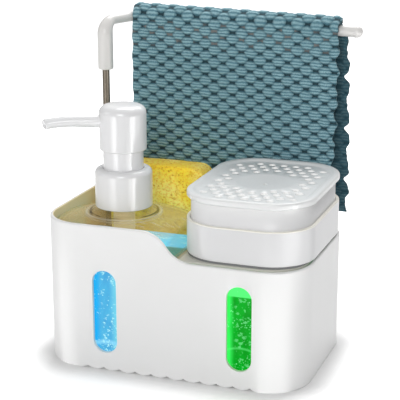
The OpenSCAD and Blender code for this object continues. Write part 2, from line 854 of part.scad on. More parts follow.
// Staggered rows of holes, kept inside the lip's rounded outline and outside the dish
module drain_holes() {
    half_w = (tray_box[1] - tray_box[0]) / 2 - lip_w - drain_margin - drain_d / 2;
    half_d = (tray_box[3] - tray_box[2]) / 2 - lip_w - drain_margin - drain_d / 2;
    corner = tray_r - lip_w - drain_margin - drain_d / 2;
    row_step = drain_pitch * sin(60);
    rows = floor(half_d / row_step);
    columns = ceil(half_w / drain_pitch);
    for (j = [-rows:rows], i = [-columns:columns]) {
        x = (i + (j % 2 == 0 ? 0 : 1 / 2)) * drain_pitch;
        y = j * row_step;
        past_x = max(abs(x) - half_w + corner, 0);
        past_y = max(abs(y) - half_d + corner, 0);
        inside = norm([past_x, past_y]) <= corner && abs(x) <= half_w;
        if (inside && norm([x, y]) > dish_r + dish_rim + drain_d / 2) {
            translate([press_x + x, press_y + y, plate_z - over])
                cylinder(d = drain_d, h = plate_h + 2 * over);
        }
    }
}

// Rings of the sponge, from the middle of its edge to the middle of a face, as [distance, inset, size]
function sponge_rings() = concat(
    [for (i = [0:sponge_edge_steps]) let (a = 90 * i / sponge_edge_steps)
        [sponge_t / 2 - sponge_crown - sponge_edge + sponge_edge * sin(a), sponge_edge * (1 - cos(a)), 1]],
    [for (v = sponge_face_shares) [sponge_t / 2 - sponge_crown * pow(v, 2), sponge_edge, v]]
);

// Upright block with round corners and soft edges, a little fuller in the middle of its faces
module sponge() {
    half = sponge_rings();
    rings = concat([for (i = [len(half) - 1:-1:0]) [-half[i][0], half[i][1], half[i][2]]], half);
    steps = sponge_corner_steps + 1;
    n = 4 * steps;
    last = len(rings) - 1;
    points = concat(
        [for (g = rings, k = [0:n - 1]) let (
            q = floor(k / steps),
            a = 90 * q + 90 * (k % steps) / sponge_corner_steps,
            sx = q == 0 || q == 3 ? 1 : -1,
            sz = q < 2 ? 1 : -1,
            r = sponge_r - g[1]
        ) [
            g[2] * (sx * (sponge_w / 2 - sponge_r) + r * cos(a)),
            g[0],
            g[2] * (sz * (sponge_h / 2 - sponge_r) + r * sin(a))
        ]],
        [[0, -sponge_t / 2, 0], [0, sponge_t / 2, 0]]
    );
    walls = [for (i = [0:last - 1], k = [0:n - 1]) let (a = i * n, next = (k + 1) % n)
        for (f = [[a + k, a + next, a + n + next], [a + k, a + n + next, a + n + k]]) f];
    faces = [for (k = [0:n - 1]) let (next = (k + 1) % n)
        for (f = [[next, k, (last + 1) * n], [last * n + k, last * n + next, (last + 1) * n + 1]]) f];
    color(YELLOW) translate([sponge_x + sponge_w / 2, sponge_y + sponge_t / 2, sponge_z + sponge_h / 2])
        polyhedron(points, concat(walls, faces));
}

module rail_rod() {
    color(STEEL) translate([rail_x, rail_y, 0]) ring(rod_r, 0, socket_z + rest_gap, elbow_z + rod_grip);
}

// Ring of the arm: its middle, the direction of the tube as elevation and plan angle, and its radius
function arm_rings() =
    let (
        turn = atan2(bar_y - rail_y, crank_x),
        tangent = bend_r * tan(turn / 2),
        base = [rail_x, rail_y, rail_z - elbow_bend_r],
        bar_x = rail_x + crank_x + tangent,
        knob_x = bar_end - knob_r,
        knob_a = acos(bar_r / knob_r)
    )
    concat(
        [[[rail_x, rail_y, elbow_z], 90, turn, elbow_r]],
        [for (i = [0:arm_steps]) let (a = 90 * i / arm_steps) [
            base + elbow_bend_r * [(1 - cos(a)) * cos(turn), (1 - cos(a)) * sin(turn), sin(a)],
            90 - a, turn, elbow_r + (bar_r - elbow_r) * i / arm_steps
        ]],
        [for (i = [0:arm_steps]) let (a = turn - turn * i / arm_steps) [
            [bar_x - bend_r * sin(a), bar_y - bend_r + bend_r * cos(a), rail_z], 0, a, bar_r
        ]],
        [for (i = [0:arm_steps]) let (a = -knob_a + (knob_tip_a + knob_a) * i / arm_steps) [
            [knob_x + knob_r * sin(a), bar_y, rail_z - bar_droop(knob_x + knob_r * sin(a))],
            0, 0, knob_r * cos(a)
        ]]
    );

// How far the bar has dropped at x, from where it leaves the crank to its free end
function bar_droop(x) = rail_droop * (x - rail_x - crank_x) / (bar_end - rail_x - crank_x);

// Sleeve on the rod that bends over into the crank, a second bend, and the bar with its knob
module rail_arm() {
    rings = arm_rings();
    last = len(rings) - 1;
    points = [
        for (g = rings, k = [0:arm_sides - 1])
            let (
                run = [cos(g[1]) * cos(g[2]), cos(g[1]) * sin(g[2]), sin(g[1])],
                side = [-sin(g[2]), cos(g[2]), 0],
                b = 360 * (k + 1 / 2) / arm_sides
            )
            g[0] + g[3] * (cos(b) * side + sin(b) * cross(run, side))
    ];
    walls = [
        for (i = [0:last - 1], k = [0:arm_sides - 1])
            let (a = i * arm_sides, next = (k + 1) % arm_sides)
            for (f = [
                [a + k, a + arm_sides + k, a + arm_sides + next],
                [a + k, a + arm_sides + next, a + next]
            ]) f
    ];
    first = [for (k = [0:arm_sides - 1]) k];
    end = [for (k = [arm_sides - 1:-1:0]) last * arm_sides + k];
    color(WHITE) difference() {
        polyhedron(points, concat(walls, [first, end]));
        translate([rail_x, rail_y, elbow_z - over])
            cylinder(r = rod_r + rod_fit, h = rod_grip + seal_gap + over);
    }
}

// Point of the cloth's middle surface, as [y, z, outward y, outward z, share of the fall], at station i
// from the front hem over the bar
function cloth_station(i) =
    let (
        leg = rail_z - cloth_z,
        last = 2 * cloth_leg_steps + cloth_arc_steps,
        front = i < cloth_leg_steps,
        back = i > cloth_leg_steps + cloth_arc_steps,
        a = 180 * (i - cloth_leg_steps) / cloth_arc_steps,
        down = front ? 1 - i / cloth_leg_steps : back ? 1 - (last - i) / cloth_leg_steps : 0
    )
    front ? [-cloth_mid_r, -leg * down, -1, 0, down]
        : back ? [cloth_mid_r, -leg * down, 1, 0, down]
        : [-cloth_mid_r * cos(a), cloth_mid_r * sin(a), -cos(a), sin(a), 0];

// Corner of the cloth at station i and column j, on its outer side (1) or its inner side (-1)
function cloth_point(i, j, side) =
    let (
        s = cloth_station(i),
        last = 2 * cloth_leg_steps + cloth_arc_steps,
        u = j / cloth_columns,
        x = cloth_left + u * cloth_w + cloth_shift * i / last,
        sway = cloth_wave * s[4] * (1 - cos(360 * cloth_waves * u)) / 2
    )
    [
        x, bar_y + s[0] + side * s[2] * cloth_t / 2 - s[2] * sway,
        rail_z - bar_droop(x) + s[1] + side * s[3] * cloth_t / 2
    ];

// Cloth hung over the bar: two layers joined over the top, with soft upright waves that deepen downwards
module dish_cloth() {
    last = 2 * cloth_leg_steps + cloth_arc_steps;
    n = cloth_columns + 1;
    m = (last + 1) * n;
    points = [for (side = [1, -1], i = [0:last], j = [0:cloth_columns]) cloth_point(i, j, side)];
    outer = [for (i = [0:last - 1], j = [0:cloth_columns - 1]) let (a = i * n + j)
        for (f = [[a, a + n, a + n + 1], [a, a + n + 1, a + 1]]) f];
    inner = [for (f = outer) [f[0] + m, f[2] + m, f[1] + m]];
    hems = [for (j = [0:cloth_columns - 1]) let (a = j, b = last * n + j)
        for (f = [
            [a, a + 1, a + 1 + m], [a, a + 1 + m, a + m],
            [b + 1, b, b + m], [b + 1, b + m, b + 1 + m]
        ]) f];
    sides = [for (i = [0:last - 1]) let (a = i * n, b = i * n + cloth_columns)
        for (f = [
            [a + n, a, a + m], [a + n, a + m, a + n + m],
            [b, b + n, b + n + m], [b, b + n + m, b + m]
        ]) f];
    color(TEAL) polyhedron(points, concat(outer, inner, hems, sides));
}

outer_case();
foot_pads();
pump_bottle();
blue_soap();
pump_cylinder();
pump_gasket();
pump_chaplet();
pump_dip_tube();
pump_spring();
pump_ball();
screw_collar();
pump_stem();
pump_piston_seal();
pump_head();
pump_nozzle();
press_bottle();
green_soap();
press_tray();
tray_gasket();
press_cylinder();
press_chaplet();
press_dip_tube();
press_spring();
press_ball();
press_stem();
press_piston_seal();
press_skirt();
press_plate();
sponge();
rail_rod();
rail_arm();
dish_cloth();
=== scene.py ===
"""Soap pump caddy: white case with windows, pump bottle, press-top bottle, sponge, towel rail and cloth.

Lengths are in millimetres until a surface becomes a mesh, where SCALE turns them into metres.
"""
import bpy
import bmesh
import numpy as np
from mathutils import Matrix, Vector


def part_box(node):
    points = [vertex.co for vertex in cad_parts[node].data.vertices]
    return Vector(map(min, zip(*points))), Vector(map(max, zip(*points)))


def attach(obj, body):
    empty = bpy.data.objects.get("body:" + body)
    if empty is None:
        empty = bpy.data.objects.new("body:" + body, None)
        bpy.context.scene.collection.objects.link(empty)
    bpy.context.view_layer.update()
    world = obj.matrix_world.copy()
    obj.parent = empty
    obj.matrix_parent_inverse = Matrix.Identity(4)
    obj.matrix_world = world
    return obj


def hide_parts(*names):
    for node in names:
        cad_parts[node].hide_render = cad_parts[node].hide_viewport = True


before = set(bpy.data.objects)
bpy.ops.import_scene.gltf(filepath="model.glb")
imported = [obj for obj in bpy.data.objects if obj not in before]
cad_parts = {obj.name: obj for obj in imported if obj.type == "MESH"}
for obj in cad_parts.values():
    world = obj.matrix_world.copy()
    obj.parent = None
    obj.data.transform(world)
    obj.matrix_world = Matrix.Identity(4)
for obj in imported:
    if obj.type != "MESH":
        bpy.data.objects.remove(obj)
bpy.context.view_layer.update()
SCALE = 0.001
TAU = 2 * np.pi


# Shader maths
class Value:
    """A number on a socket. Python's operators on it add Math nodes to its finish."""

    def __init__(self, finish, socket):
        self.finish, self.socket = finish, socket

    def math(self, operation, *others):
        sockets = dict(enumerate((self, *others)))
        return self.finish.node("Math", {"operation": operation}, sockets)

    def swapped(self, operation, other):
        return self.finish.node("Math", {"operation": operation}, {0: other, 1: self})

    def __add__(self, other):
        return self.math("ADD", other)

    def __sub__(self, other):
        return self.math("SUBTRACT", other)

    def __mul__(self, other):
        return self.math("MULTIPLY", other)

    def __truediv__(self, other):
        return self.math("DIVIDE", other)

    def __pow__(self, other):
        return self.math("POWER", other)

    def __abs__(self):
        return self.math("ABSOLUTE")

    def __rsub__(self, other):
        return self.swapped("SUBTRACT", other)

    def __rtruediv__(self, other):
        return self.swapped("DIVIDE", other)

    __radd__ = __add__
    __rmul__ = __mul__

    def max(self, other):
        return self.math("MAXIMUM", other)

    def ramp(self, low, high):
        """0 up to low, 1 from high on, a smooth S between; where high is the lower, it falls from 1 to 0."""
        return self.finish.node(
            "MapRange", {"interpolation_type": "SMOOTHSTEP"},
            {"Value": self, "From Min": low, "From Max": high})

    def near(self, full, none):
        """1 where the value lies within full of zero, 0 beyond none."""
        return abs(self).ramp(none, full)

    def beyond(self, limit):
        """How far the value's size is past limit, or 0."""
        return (abs(self) - limit).max(0.0)

    def hypotenuse(self, other):
        return (self ** 2.0 + other ** 2.0).math("SQRT")


class Finish:
    """A node material round one Principled shader."""

    def __init__(self, name, **constants):
        self.material = bpy.data.materials.new(name)
        self.material.use_nodes = True
        self.tree = self.material.node_tree
        self.shader = self.tree.nodes["Principled BSDF"]
        self.set(**constants)

    def put(self, node, inputs):
        for key, value in inputs.items():
            if isinstance(value, Value):
                self.tree.links.new(value.socket, node.inputs[key])
            elif isinstance(value, str):
                node.inputs[key].default_value = colour(value)
            else:
                node.inputs[key].default_value = value

    def node(self, kind, settings=None, inputs=None, out=0):
        """Adds one node: its settings first, then its inputs."""
        made = self.tree.nodes.new("ShaderNode" + kind)
        for key, value in (settings or {}).items():
            setattr(made, key, value)
        self.put(made, inputs or {})
        return Value(self, made.outputs[out])

    def place(self, scale=1.0):
        """Object coordinates in millimetres, divided by the pattern's scale."""
        coordinates = self.node("TexCoord", out="Object")
        shares = [1 / (SCALE * s) for s in np.broadcast_to(scale, 3).tolist()]
        return self.node("Mapping", inputs={"Vector": coordinates, "Scale": shares})

    def axes(self, vector):
        return [self.node("SeparateXYZ", inputs={0: vector}, out=k) for k in range(3)]

    def noise(self, scale, detail=2.0, roughness=0.5):
        """Soft noise between 0 and 1 whose blobs are about scale millimetres wide."""
        return self.node("TexNoise", inputs={"Vector": self.place(scale), "Scale": 1.0,
                                             "Detail": detail, "Roughness": roughness})

    def cells(self, scale):
        """Distance to the nearest of scattered points that lie about scale millimetres apart."""
        return self.node("TexVoronoi", inputs={"Vector": self.place(scale), "Scale": 1.0}, out="Distance")

    def mix(self, factor, a, b):
        """Colour a where factor is 0, b where it is 1."""
        return self.node("Mix", {"data_type": "RGBA"}, {0: factor, 6: a, 7: b}, out=2)

    def bump(self, height, depth, strength):
        """Normal of a relief whose height, from 0 to 1, stands for depth millimetres."""
        return self.node("Bump", inputs={"Height": height, "Distance": depth * SCALE, "Strength": strength})

    def set(self, **inputs):
        self.put(self.shader, {k.replace("_", " "): v for k, v in inputs.items()})
        return self


def colour(text):
    """Linear colour of an sRGB hex code: ((c + 0.055) / 1.055) ** 2.4, or c / 12.92 where c is small."""
    c = np.array([int(text[k:k + 2], 16) / 255 for k in (1, 3, 5)])
    linear = np.where(c <= 0.04045, c / 12.92, ((c + 0.055) / 1.055) ** 2.4)
    return (*linear, 1.0)


# Sizes
def mm(node):
    """Lowest and highest corner of a CAD node, in millimetres."""
    lo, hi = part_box(node)
    return np.array(lo) / SCALE, np.array(hi) / SCALE


def middle(node):
    """Middle of a CAD node in plan."""
    lo, hi = mm(node)
    return ((lo + hi) / 2)[:2].tolist()


def plan_of(node):
    """Left, right, front and back of a CAD node, then its lowest and highest height."""
    lo, hi = mm(node)
    return [lo[0], hi[0], lo[1], hi[1]], lo[2], hi[2]


PUMP_XY, PRESS_XY, RAIL_XY = middle("screw_collar"), middle("press_tray"), middle("rail_rod")
*CASE_HALF, TALL = mm("outer_case")[1].tolist()
CASE_R, WALL, FLOOR = 28.0, 2.4, 2.4
WINDOWS, WINDOW_W, WINDOW_H, WINDOW_Z = (-40.6, 48.6), 16.4, 55.0, 12.0
DISH_R, FIELD_HALF = 18.5, (34.0, 47.0)
PUFF_ALONG, PUFF_ACROSS, INNER_MAP = 0.32, 0.38, 100.0


# Finishes
def moulded(name, shades, rough):
    """Glossy moulded plastic: faint cloudiness in the colour, fine orange peel and a slightly uneven gloss.
    f.base is its colour, for a finish that changes it further."""
    f = Finish(name, IOR=1.5, Specular_IOR_Level=0.7)
    cloud = f.noise(28, 2)
    peel = f.noise(1.1, 3, 0.55)
    rub = f.noise(9, 4, 0.6).ramp(0.55, 0.8)
    f.base = f.mix(cloud, *shades)
    return f.set(Base_Color=f.base, Roughness=rough + 0.05 * cloud + 0.025 * rub,
                 Normal=f.bump(peel, 0.008, 0.25))


def case_white():
    """White, with cream on the left half of the inner walls, lighter towards the top: a painted reflection of
    the amber bottle and painted light. past = |p| - half + r on each axis, and inside is where the length of
    past is under r."""
    f = moulded("case_white_gloss", ("#F1F1F0", "#F4F4F4"), 0.34)
    x, y, z = f.axes(f.place())
    skin = 2.1
    corner = CASE_R - skin
    past = [v.beyond(half - CASE_R) for v, half in zip((x, y), CASE_HALF)]
    inside = past[0].hypotenuse(past[1]).ramp(corner + 0.6, corner) * x.ramp(10.0, -20.0) * z.ramp(40.0, 60.0)
    # Painted reflection and light: cream on the left inner walls, lighter towards the top.
    return f.set(Base_Color=f.mix(inside * 0.85, f.base, f.mix(z.ramp(74.0, 94.0), "#E3C88A", "#FAE8BE")))


def plate_white():
    """White whose drain holes glow faintly, under the field, outside the dish and inside the lip: painted
    light on the shaded hole walls.
    """
    f = moulded("plate_white_satin", ("#ECEDED", "#F0F1F1"), 0.3)
    x, y, z = f.axes(f.place())
    top, soft = mm("press_plate")[1][2], 0.3
    x, y = x - PRESS_XY[0], y - PRESS_XY[1]
    within = (x / FIELD_HALF[0]).near(0.98, 1.02) * (y / FIELD_HALF[1]).near(0.98, 1.02)
    within = within * z.ramp(top - 6.0, top - 6.0 + soft) * z.ramp(top - 1.7, top - 1.7 - soft)
    within = within * x.hypotenuse(y).ramp(DISH_R + 1.5, DISH_R + 2.0)
    # Painted light: the walls of the drain holes glow.
    return f.set(Emission_Color=f.mix(within, "#000000", "#F2F1EC"), Emission_Strength=0.27)


def tray_white():
    """White with a painted highlight in light cream along the rim, and painted light that turns the left side
    pure white.
    """
    f = moulded("tray_white_gloss", ("#DFDFE0", "#E3E3E4"), 0.28)
    x, _, z = f.axes(f.place())
    rim = mm("press_tray")[1][2] - 0.7
    # Painted light: pure white on the left side.
    base = f.mix(x.ramp(8.0, 24.0), "#FFFFFF", f.base)
    # Painted highlight: a light cream line along the rim.
    return f.set(Base_Color=f.mix(z.ramp(rim - 0.3, rim), base, "#FBF8EE"))


def skirt_white():
    """White that grows paler with height: painted light against the shade under the plate's lip."""
    f = moulded("skirt_white_satin", ("#E9E9EA", "#ECECED"), 0.36)
    return f.set(Base_Color=f.mix(f.axes(f.place())[2].ramp(102.0, 115.0), f.base, "#FFFFFF"))


case_finish, plate_finish = case_white(), plate_white()
tray_finish, skirt_finish = tray_white(), skirt_white()
pump_finish = moulded("pump_white_gloss", ("#EFEFF0", "#F2F2F3"), 0.16)
rail_finish = moulded("rail_white_satin", ("#E8E6E3", "#EFEDEA"), 0.26)
cream_finish = moulded("inner_cream_satin", ("#E6CFA6", "#EAD6B0"), 0.3)
# Painted light: these parts glow so that they look brighter in the shade inside the bottle.
cream_finish.set(Emission_Color="#D9BD90", Emission_Strength=0.3)


def clear_plastic():
    """Clear, faintly amber plastic that hides more at a grazing angle, by alpha = a + b facing^n. Round the
    pump's neck a dark ring is painted for the collar's shade and the bend's refraction, a light ring and
    light streaks on the shoulder are painted highlights, and the press bottle's top is frosted."""
    f = Finish("bottle_clear_amber", IOR=1.5, Specular_IOR_Level=0.24)
    wave = f.noise(14, 2)
    x, y, z = f.axes(f.place())
    left, top = mm("press_bottle")[0][0], mm("press_bottle")[1][2]
    frost = z.ramp(top - 2.25, top - 1.45) * x.ramp(left + 0.4, left + 6.4)
    facing = f.node("LayerWeight", inputs={"Blend": 0.5}, out="Facing")
    away = (x - PUMP_XY[0]).hypotenuse(y - PUMP_XY[1]) + 1.2 * (f.noise(20, 1) - 0.5)
    shoulder = z.ramp(88.0, 90.0)
    # Painted shade and highlights round the neck: the dark ring, then the light ring and the streaks.
    dark = ((away - 21.8) / 1.3).near(0.3, 1.0) * shoulder * f.noise((16, 16, 40), 1).ramp(0.3, 0.55)
    light = ((away - 24.2) / 1.6).near(0.2, 1.0) * shoulder
    streak = f.noise((30, 3, 3), 2, 0.4).ramp(0.6, 0.72) * shoulder
    alpha = 0.55 * (facing - 0.12).max(0.0) ** 1.9 + 0.15 * shoulder
    alpha = alpha.max(dark * 0.7).max(light * 0.45).max(streak * 0.4)
    base = f.mix(wave, "#DCB766", "#F6E0A6")
    base = f.mix(light.max(streak * 0.8), f.mix(dark, base, "#5A4A2C"), "#F6EBCF")
    return f.set(Base_Color=f.mix(frost, base, "#DAD7CF"), Alpha=alpha.max(frost * 0.9),
                 Roughness=0.06 + 0.05 * f.noise(3, 2) + 0.2 * frost, Normal=f.bump(wave, 0.6, 0.4))


def soap(name, node, window_x, shades, band, line, right, bubbles):
    """Liquid soap behind a window, with painted light: its front and its surface glow, with a painted glow
    down its left side, a painted lighter right side and top, a painted glowing curved line across the foot
    and painted shade in dark green on the front of its open surface, and pale bubbles of two sizes. band is
    the height from which the top is light and how much, line the height, half width and strength of the
    curved glowing line across the foot, right the strength of the light right side, bubbles that of all
    bubbles and of their patches."""
    body, deep, glow, light, bubble = shades
    f = Finish(name, IOR=1.38, Roughness=0.08, Specular_IOR_Level=0.12)
    x, y, z = f.axes(f.place())
    side = (x - window_x) / (WINDOW_W / 2)
    wavy = side + 0.3 * (f.noise(14, 1) - 0.5)
    base = f.mix(f.noise((6, 6, 14), 3, 0.55).ramp(0.35, 0.68), body, deep)
    # Painted light: a glow down the left side, a lighter right side and a lighter top band.
    base = f.mix(wavy.ramp(-0.45, -1.05) * 0.95, base, glow)
    base = f.mix(wavy.ramp(0.1, 0.75) * right, base, light)
    base = f.mix(z.ramp(band[0], band[0] + 1.0) * band[1], base, light)
    # Painted light: a curved glowing line across the foot.
    curve = ((z - line[0] + 1.6 * side * side) / line[1]).near(0.1, 1.0)
    base = f.mix(curve * line[2], base, f.mix(0.5, glow, bubble))
    small = f.cells(1.7).ramp(0.32, 0.16)
    patches = f.noise((2.6, 2.6, 2.2), 3, 0.65).ramp(0.56, 0.6) * f.noise(11, 1).ramp(0.44, 0.54)
    patches = patches * side.ramp(-0.7, -0.3)
    spots = (small * f.noise(9, 2).ramp(0.46, 0.62)).max(patches * bubbles[1])
    base = f.mix(spots * bubbles[0], base, bubble)
    (_, wall, _), (_, _, top) = mm(node)
    front = y.ramp(wall + 1.3, wall + 0.5)
    lid = z.ramp(top - 1.4, top - 0.9) * (1 - front)
    open_top = f.mix(f.noise((9, 4, 9), 3, 0.6).ramp(0.52, 0.76), f.mix(0.5, glow, light), bubble)
    # Painted shade: the open surface turns dark green towards the front, where the case's front wall shades
    # it.
    open_top = f.mix(y.ramp(-11.0, -15.0) * 0.9, open_top, "#1D6656")
    base = f.mix(lid * 0.9, base, f.mix(small * 0.25, open_top, bubble))
    # Painted light: the front and the open surface glow, and the front's own colour is darkened so that the
    # glow shows.
    glowing = f.mix(front.max(lid * 0.72), "#000000", base)
    return f.set(Base_Color=f.mix(front * 0.8, base, "#000000"), Emission_Color=glowing,
                 Emission_Strength=0.92, Normal=f.bump(spots, 0.2, 0.5))


blue_finish = soap(
    "soap_blue", "blue_soap", WINDOWS[0], ("#52B6E2", "#4AA6DA", "#1FB0F4", "#7AD6EA", "#BDF6FA"),
    band=(70.5, 0.9), line=(17.5, 2.4, 0.8), right=0.8, bubbles=(0.85, 0.85))
green_finish = soap(
    "soap_green", "green_soap", WINDOWS[1], ("#02AE22", "#01981A", "#3CFB63", "#5BFF7E", "#8CFFAC"),
    band=(58.4, 0.95), line=(25.5, 1.2, 0.35), right=0.0, bubbles=(0.75, 0.5))


def rubber():
    f = Finish("seal_grey_rubber", IOR=1.5)
    grain = f.noise(0.7, 3)
    return f.set(Base_Color=f.mix(f.noise(6), "#77787A", "#8A8B8D"), Roughness=0.62 + 0.2 * grain,
                 Normal=f.bump(grain, 0.02, 0.6))


def steel(name, along, dark, light):
    """Drawn steel: streaks along the wire and a soft tarnish."""
    f = Finish(name, Metallic=1.0, IOR=2.5)
    streak = f.noise(along, 3, 0.6)
    return f.set(Base_Color=f.mix(streak, dark, light), Roughness=0.26 + 0.16 * streak,
                 Normal=f.bump(streak, 0.02, 0.5))


def sponge_cells():
    """Yellow cellulose: small ochre pores in bright yellow, paler on the skin between, with fine grain. The
    pores' darker ochre is painted shade in their dents, and a faint glow in the sponge's own colour is
    painted light.
    """
    f = Finish("sponge_yellow_cells", IOR=1.4, Sheen_Weight=0.2, Sheen_Roughness=0.6, Sheen_Tint="#FFF0A0",
               Emission_Strength=0.2)
    warp = f.noise(3.2, 3, 0.6)
    large = f.cells((2.7, 2.7, 2.2)) + 0.3 * warp
    fine = f.cells(1.5)
    painted_pore_shade = large.ramp(0.54, 0.3)
    grain = fine.ramp(0.48, 0.2)
    shade = f.mix(f.noise(16, 2).ramp(0.3, 0.75), "#FBD83C", "#FBE67E")
    mottle = f.noise((2.1, 2.1, 1.8), 4, 0.7).ramp(0.47, 0.62)
    shade = f.mix(mottle * 0.6, shade, "#CB9F18")
    shade = f.mix(grain * 0.4, shade, "#CF9E14")
    # Painted shade: the pores' dents turn darker ochre.
    shade = f.mix(painted_pore_shade * f.noise(6, 2).ramp(0.4, 0.6) * 0.55, shade, "#AD7B0A")
    relief = large.ramp(0.1, 0.6) * 0.7 + fine.ramp(0.0, 0.5) * 0.3
    # Painted light: the sponge glows faintly in its own colour.
    return f.set(Base_Color=shade, Emission_Color=shade, Roughness=0.85 + 0.1 * warp,
                 Normal=f.bump(relief, 1.0, 0.8))


def waffle_knit():
    """Teal waffle knit, on the cloth's own map, where a puff of the same row is one unit away. Puffs are
    ovals on two staggered lattices, q = (da / along)^2 + (db / across)^2 from the nearer middle: 0 there, 1
    on the edge, and above 1.15 in the gaps between four puffs. Four yarn ribs to the unit cross each puff,
    and loops break up each rib. Light and shade are painted on this relief: the yarn is lighter on the crests
    of its ribs and loops, with random tone from the fuzz, the puffs' edges are painted darker and the gaps
    darkest, as shade, and near the top some gaps show painted light. The cloth's inner side, whose map is
    moved on by INNER_MAP, is painted darker, as shade."""
    f = Finish("cloth_teal_waffle", IOR=1.4, Sheen_Weight=0.2, Sheen_Roughness=0.5, Sheen_Tint="#D8F0F4")
    place = f.node("UVMap", {"uv_map": "knit"})
    wander = f.node("TexNoise", inputs={"Vector": place, "Scale": 2.6, "Detail": 3.0}, out="Color")
    offset = f.node("VectorMath", {"operation": "MULTIPLY_ADD"}, {0: wander, 1: (0.2, 0.2, 0.0), 2: place})
    a, b, _ = f.axes(offset)
    fuzz = f.node("TexNoise", inputs={"Vector": place, "Scale": 19.0, "Detail": 4.0, "Roughness": 0.75})
    near = [abs((v - 0.1).math("FRACT") - 0.5) for v in (a, b)]
    q = [(u / PUFF_ALONG) ** 2.0 + (v / PUFF_ACROSS) ** 2.0 for u, v in (near, [0.5 - half for half in near])]
    q = q[0].math("MINIMUM", q[1]) + 0.5 * (fuzz - 0.5)
    puff = q.ramp(1.1, 0.45)
    gap = q.ramp(1.12, 1.32)
    ribs = (((b - 0.1) * 4.0 + 0.4 * fuzz - 0.2) * TAU).math("COSINE") * 0.5 + 0.5
    loops = ((a * 13.0 + b * 4.0 + 0.8 * fuzz) * TAU).math("SINE") * 0.5 + 0.5
    yarn = ribs * (0.45 + 0.55 * loops) * 0.75 + (fuzz - 0.5) * 1.2 + 0.15
    # Painted light and shade: lighter on the crests of the ribs and loops, with random tone from the fuzz.
    shade = f.mix(yarn.ramp(0.0, 0.8), "#44788A", "#ABD3DC")
    shade = f.mix(f.noise(34, 2).ramp(0.3, 0.75) * 0.25, shade, "#6F9CA8")
    # Painted shade at the puffs' edges.
    shade = f.mix((1 - puff) * 0.55, shade, "#2C5563")
    z = f.axes(f.place())[2]
    # Painted light seen through some gaps near the top; the gaps are painted dark, as shade.
    pale = z.ramp(188.0, 196.0) * z.ramp(209.0, 205.0) * f.noise(12, 1).ramp(0.42, 0.58)
    shade = f.mix(gap * 0.92, shade, f.mix(pale * 0.8, "#14343D", "#948E88"))
    # Painted shade: the inner side is darker.
    shade = f.mix(a.ramp(INNER_MAP / 2, INNER_MAP / 2 + 1) * 0.8, shade, "#1D4652")
    relief = yarn * 0.45 + puff * 0.4 + (1 - gap) * 0.15
    return f.set(Base_Color=shade, Roughness=0.82 + 0.12 * fuzz, Normal=f.bump(relief, 1.2, 0.9))


clear_finish, rubber_finish = clear_plastic(), rubber()
rod_finish = steel("rod_brushed_steel", (0.25, 0.25, 40), "#4E483F", "#8B8276")
spring_finish = steel("spring_bright_steel", 0.8, "#8E8E8E", "#C9C9C9")
sponge_finish, cloth_finish = sponge_cells(), waffle_knit()


# Surfaces
def place_piece(obj, finish, body, nodes=()):
    """Gives a piece its finish and its body, and hides the CAD nodes that it replaces, if any are given."""
    obj.data.materials.clear()
    obj.data.materials.append(finish.material)
    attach(obj, body)
    if nodes:
        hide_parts(*nodes)


def added(name, data):
    obj = bpy.data.objects.new(name, data)
    bpy.context.scene.collection.objects.link(obj)
    return obj


def surface(name, grid, wrap=(True, False), uv=None):
    """Mesh of a grid of points[i, j] in millimetres: quad (i, j), (i+1, j), (i+1, j+1), (i, j+1), joined
    round where wrap says so. Points that meet at poles and seams are merged, and faces turned outwards."""
    rows, columns = grid.shape[:2]
    i, j = np.meshgrid(np.arange(rows - (not wrap[0])), np.arange(columns - (not wrap[1])), indexing="ij")
    i1, j1 = (i + 1) % rows, (j + 1) % columns
    quads = np.stack([i * columns + j, i1 * columns + j, i1 * columns + j1, i * columns + j1], -1)
    mesh = bpy.data.meshes.new(name)
    mesh.from_pydata((grid.reshape(-1, 3) * SCALE).tolist(), [], quads.reshape(-1, 4).tolist())
    if uv is not None:
        corner = np.zeros(len(mesh.loops), np.int32)
        mesh.loops.foreach_get("vertex_index", corner)
        mesh.uv_layers.new(name="knit").data.foreach_set("uv", uv.reshape(-1, 2)[corner].ravel())
    bm = bmesh.new()
    bm.from_mesh(mesh)
    bmesh.ops.remove_doubles(bm, verts=bm.verts, dist=2e-6)
    bmesh.ops.recalc_face_normals(bm, faces=bm.faces)
    bm.to_mesh(mesh)
    bm.free()
    mesh.polygons.foreach_set("use_smooth", [True] * len(mesh.polygons))
    return added(name, mesh)


def rounded(corners, steps=7, hold=0.12):
    """Polyline through corners (p, q, radius), each corner turned with an arc of its radius: the arc's
    centre lies on the corner's bisector, radius / sin(half angle) from it, and a support point stands hold
    before and after."""
    points = []
    c = [np.array(v[:2], float) for v in corners]
    for k, corner in enumerate(corners):
        r = corner[2] if len(corner) > 2 else 0
        if k in (0, len(corners) - 1) or not r:
            points.append(c[k])
            continue
        back, ahead = c[k - 1] - c[k], c[k + 1] - c[k]
        back_run, ahead_run = np.linalg.norm(back), np.linalg.norm(ahead)
        back, ahead = back / back_run, ahead / ahead_run
        half = np.arccos(np.clip(back @ ahead, -1, 1)) / 2
        reach = r / np.tan(half)
        centre = c[k] + (back + ahead) / np.linalg.norm(back + ahead) * r / np.sin(half)
        start, end = c[k] + back * reach - centre, c[k] + ahead * reach - centre
        if back_run > reach + hold:
            points.append(centre + start + back * hold)
        sweep = np.pi - 2 * half
        for t in np.linspace(0, 1, steps):
            spoke = (start * np.sin((1 - t) * sweep) + end * np.sin(t * sweep)) / np.sin(sweep)
            points.append(centre + spoke)
        if ahead_run > reach + hold:
            points.append(centre + end + ahead * hold)
    return np.array(points)


def turned(profile, centre, steps=72):
    """Surface of revolution about an upright axis: (x, y, z) = (cx + r cos t, cy + r sin t, z)."""
    t = np.linspace(0, TAU, steps, endpoint=False)[:, None]
    r, z = profile[:, 0], profile[:, 1]
    return np.stack([centre[0] + r * np.cos(t), centre[1] + r * np.sin(t), z + 0 * t], -1)


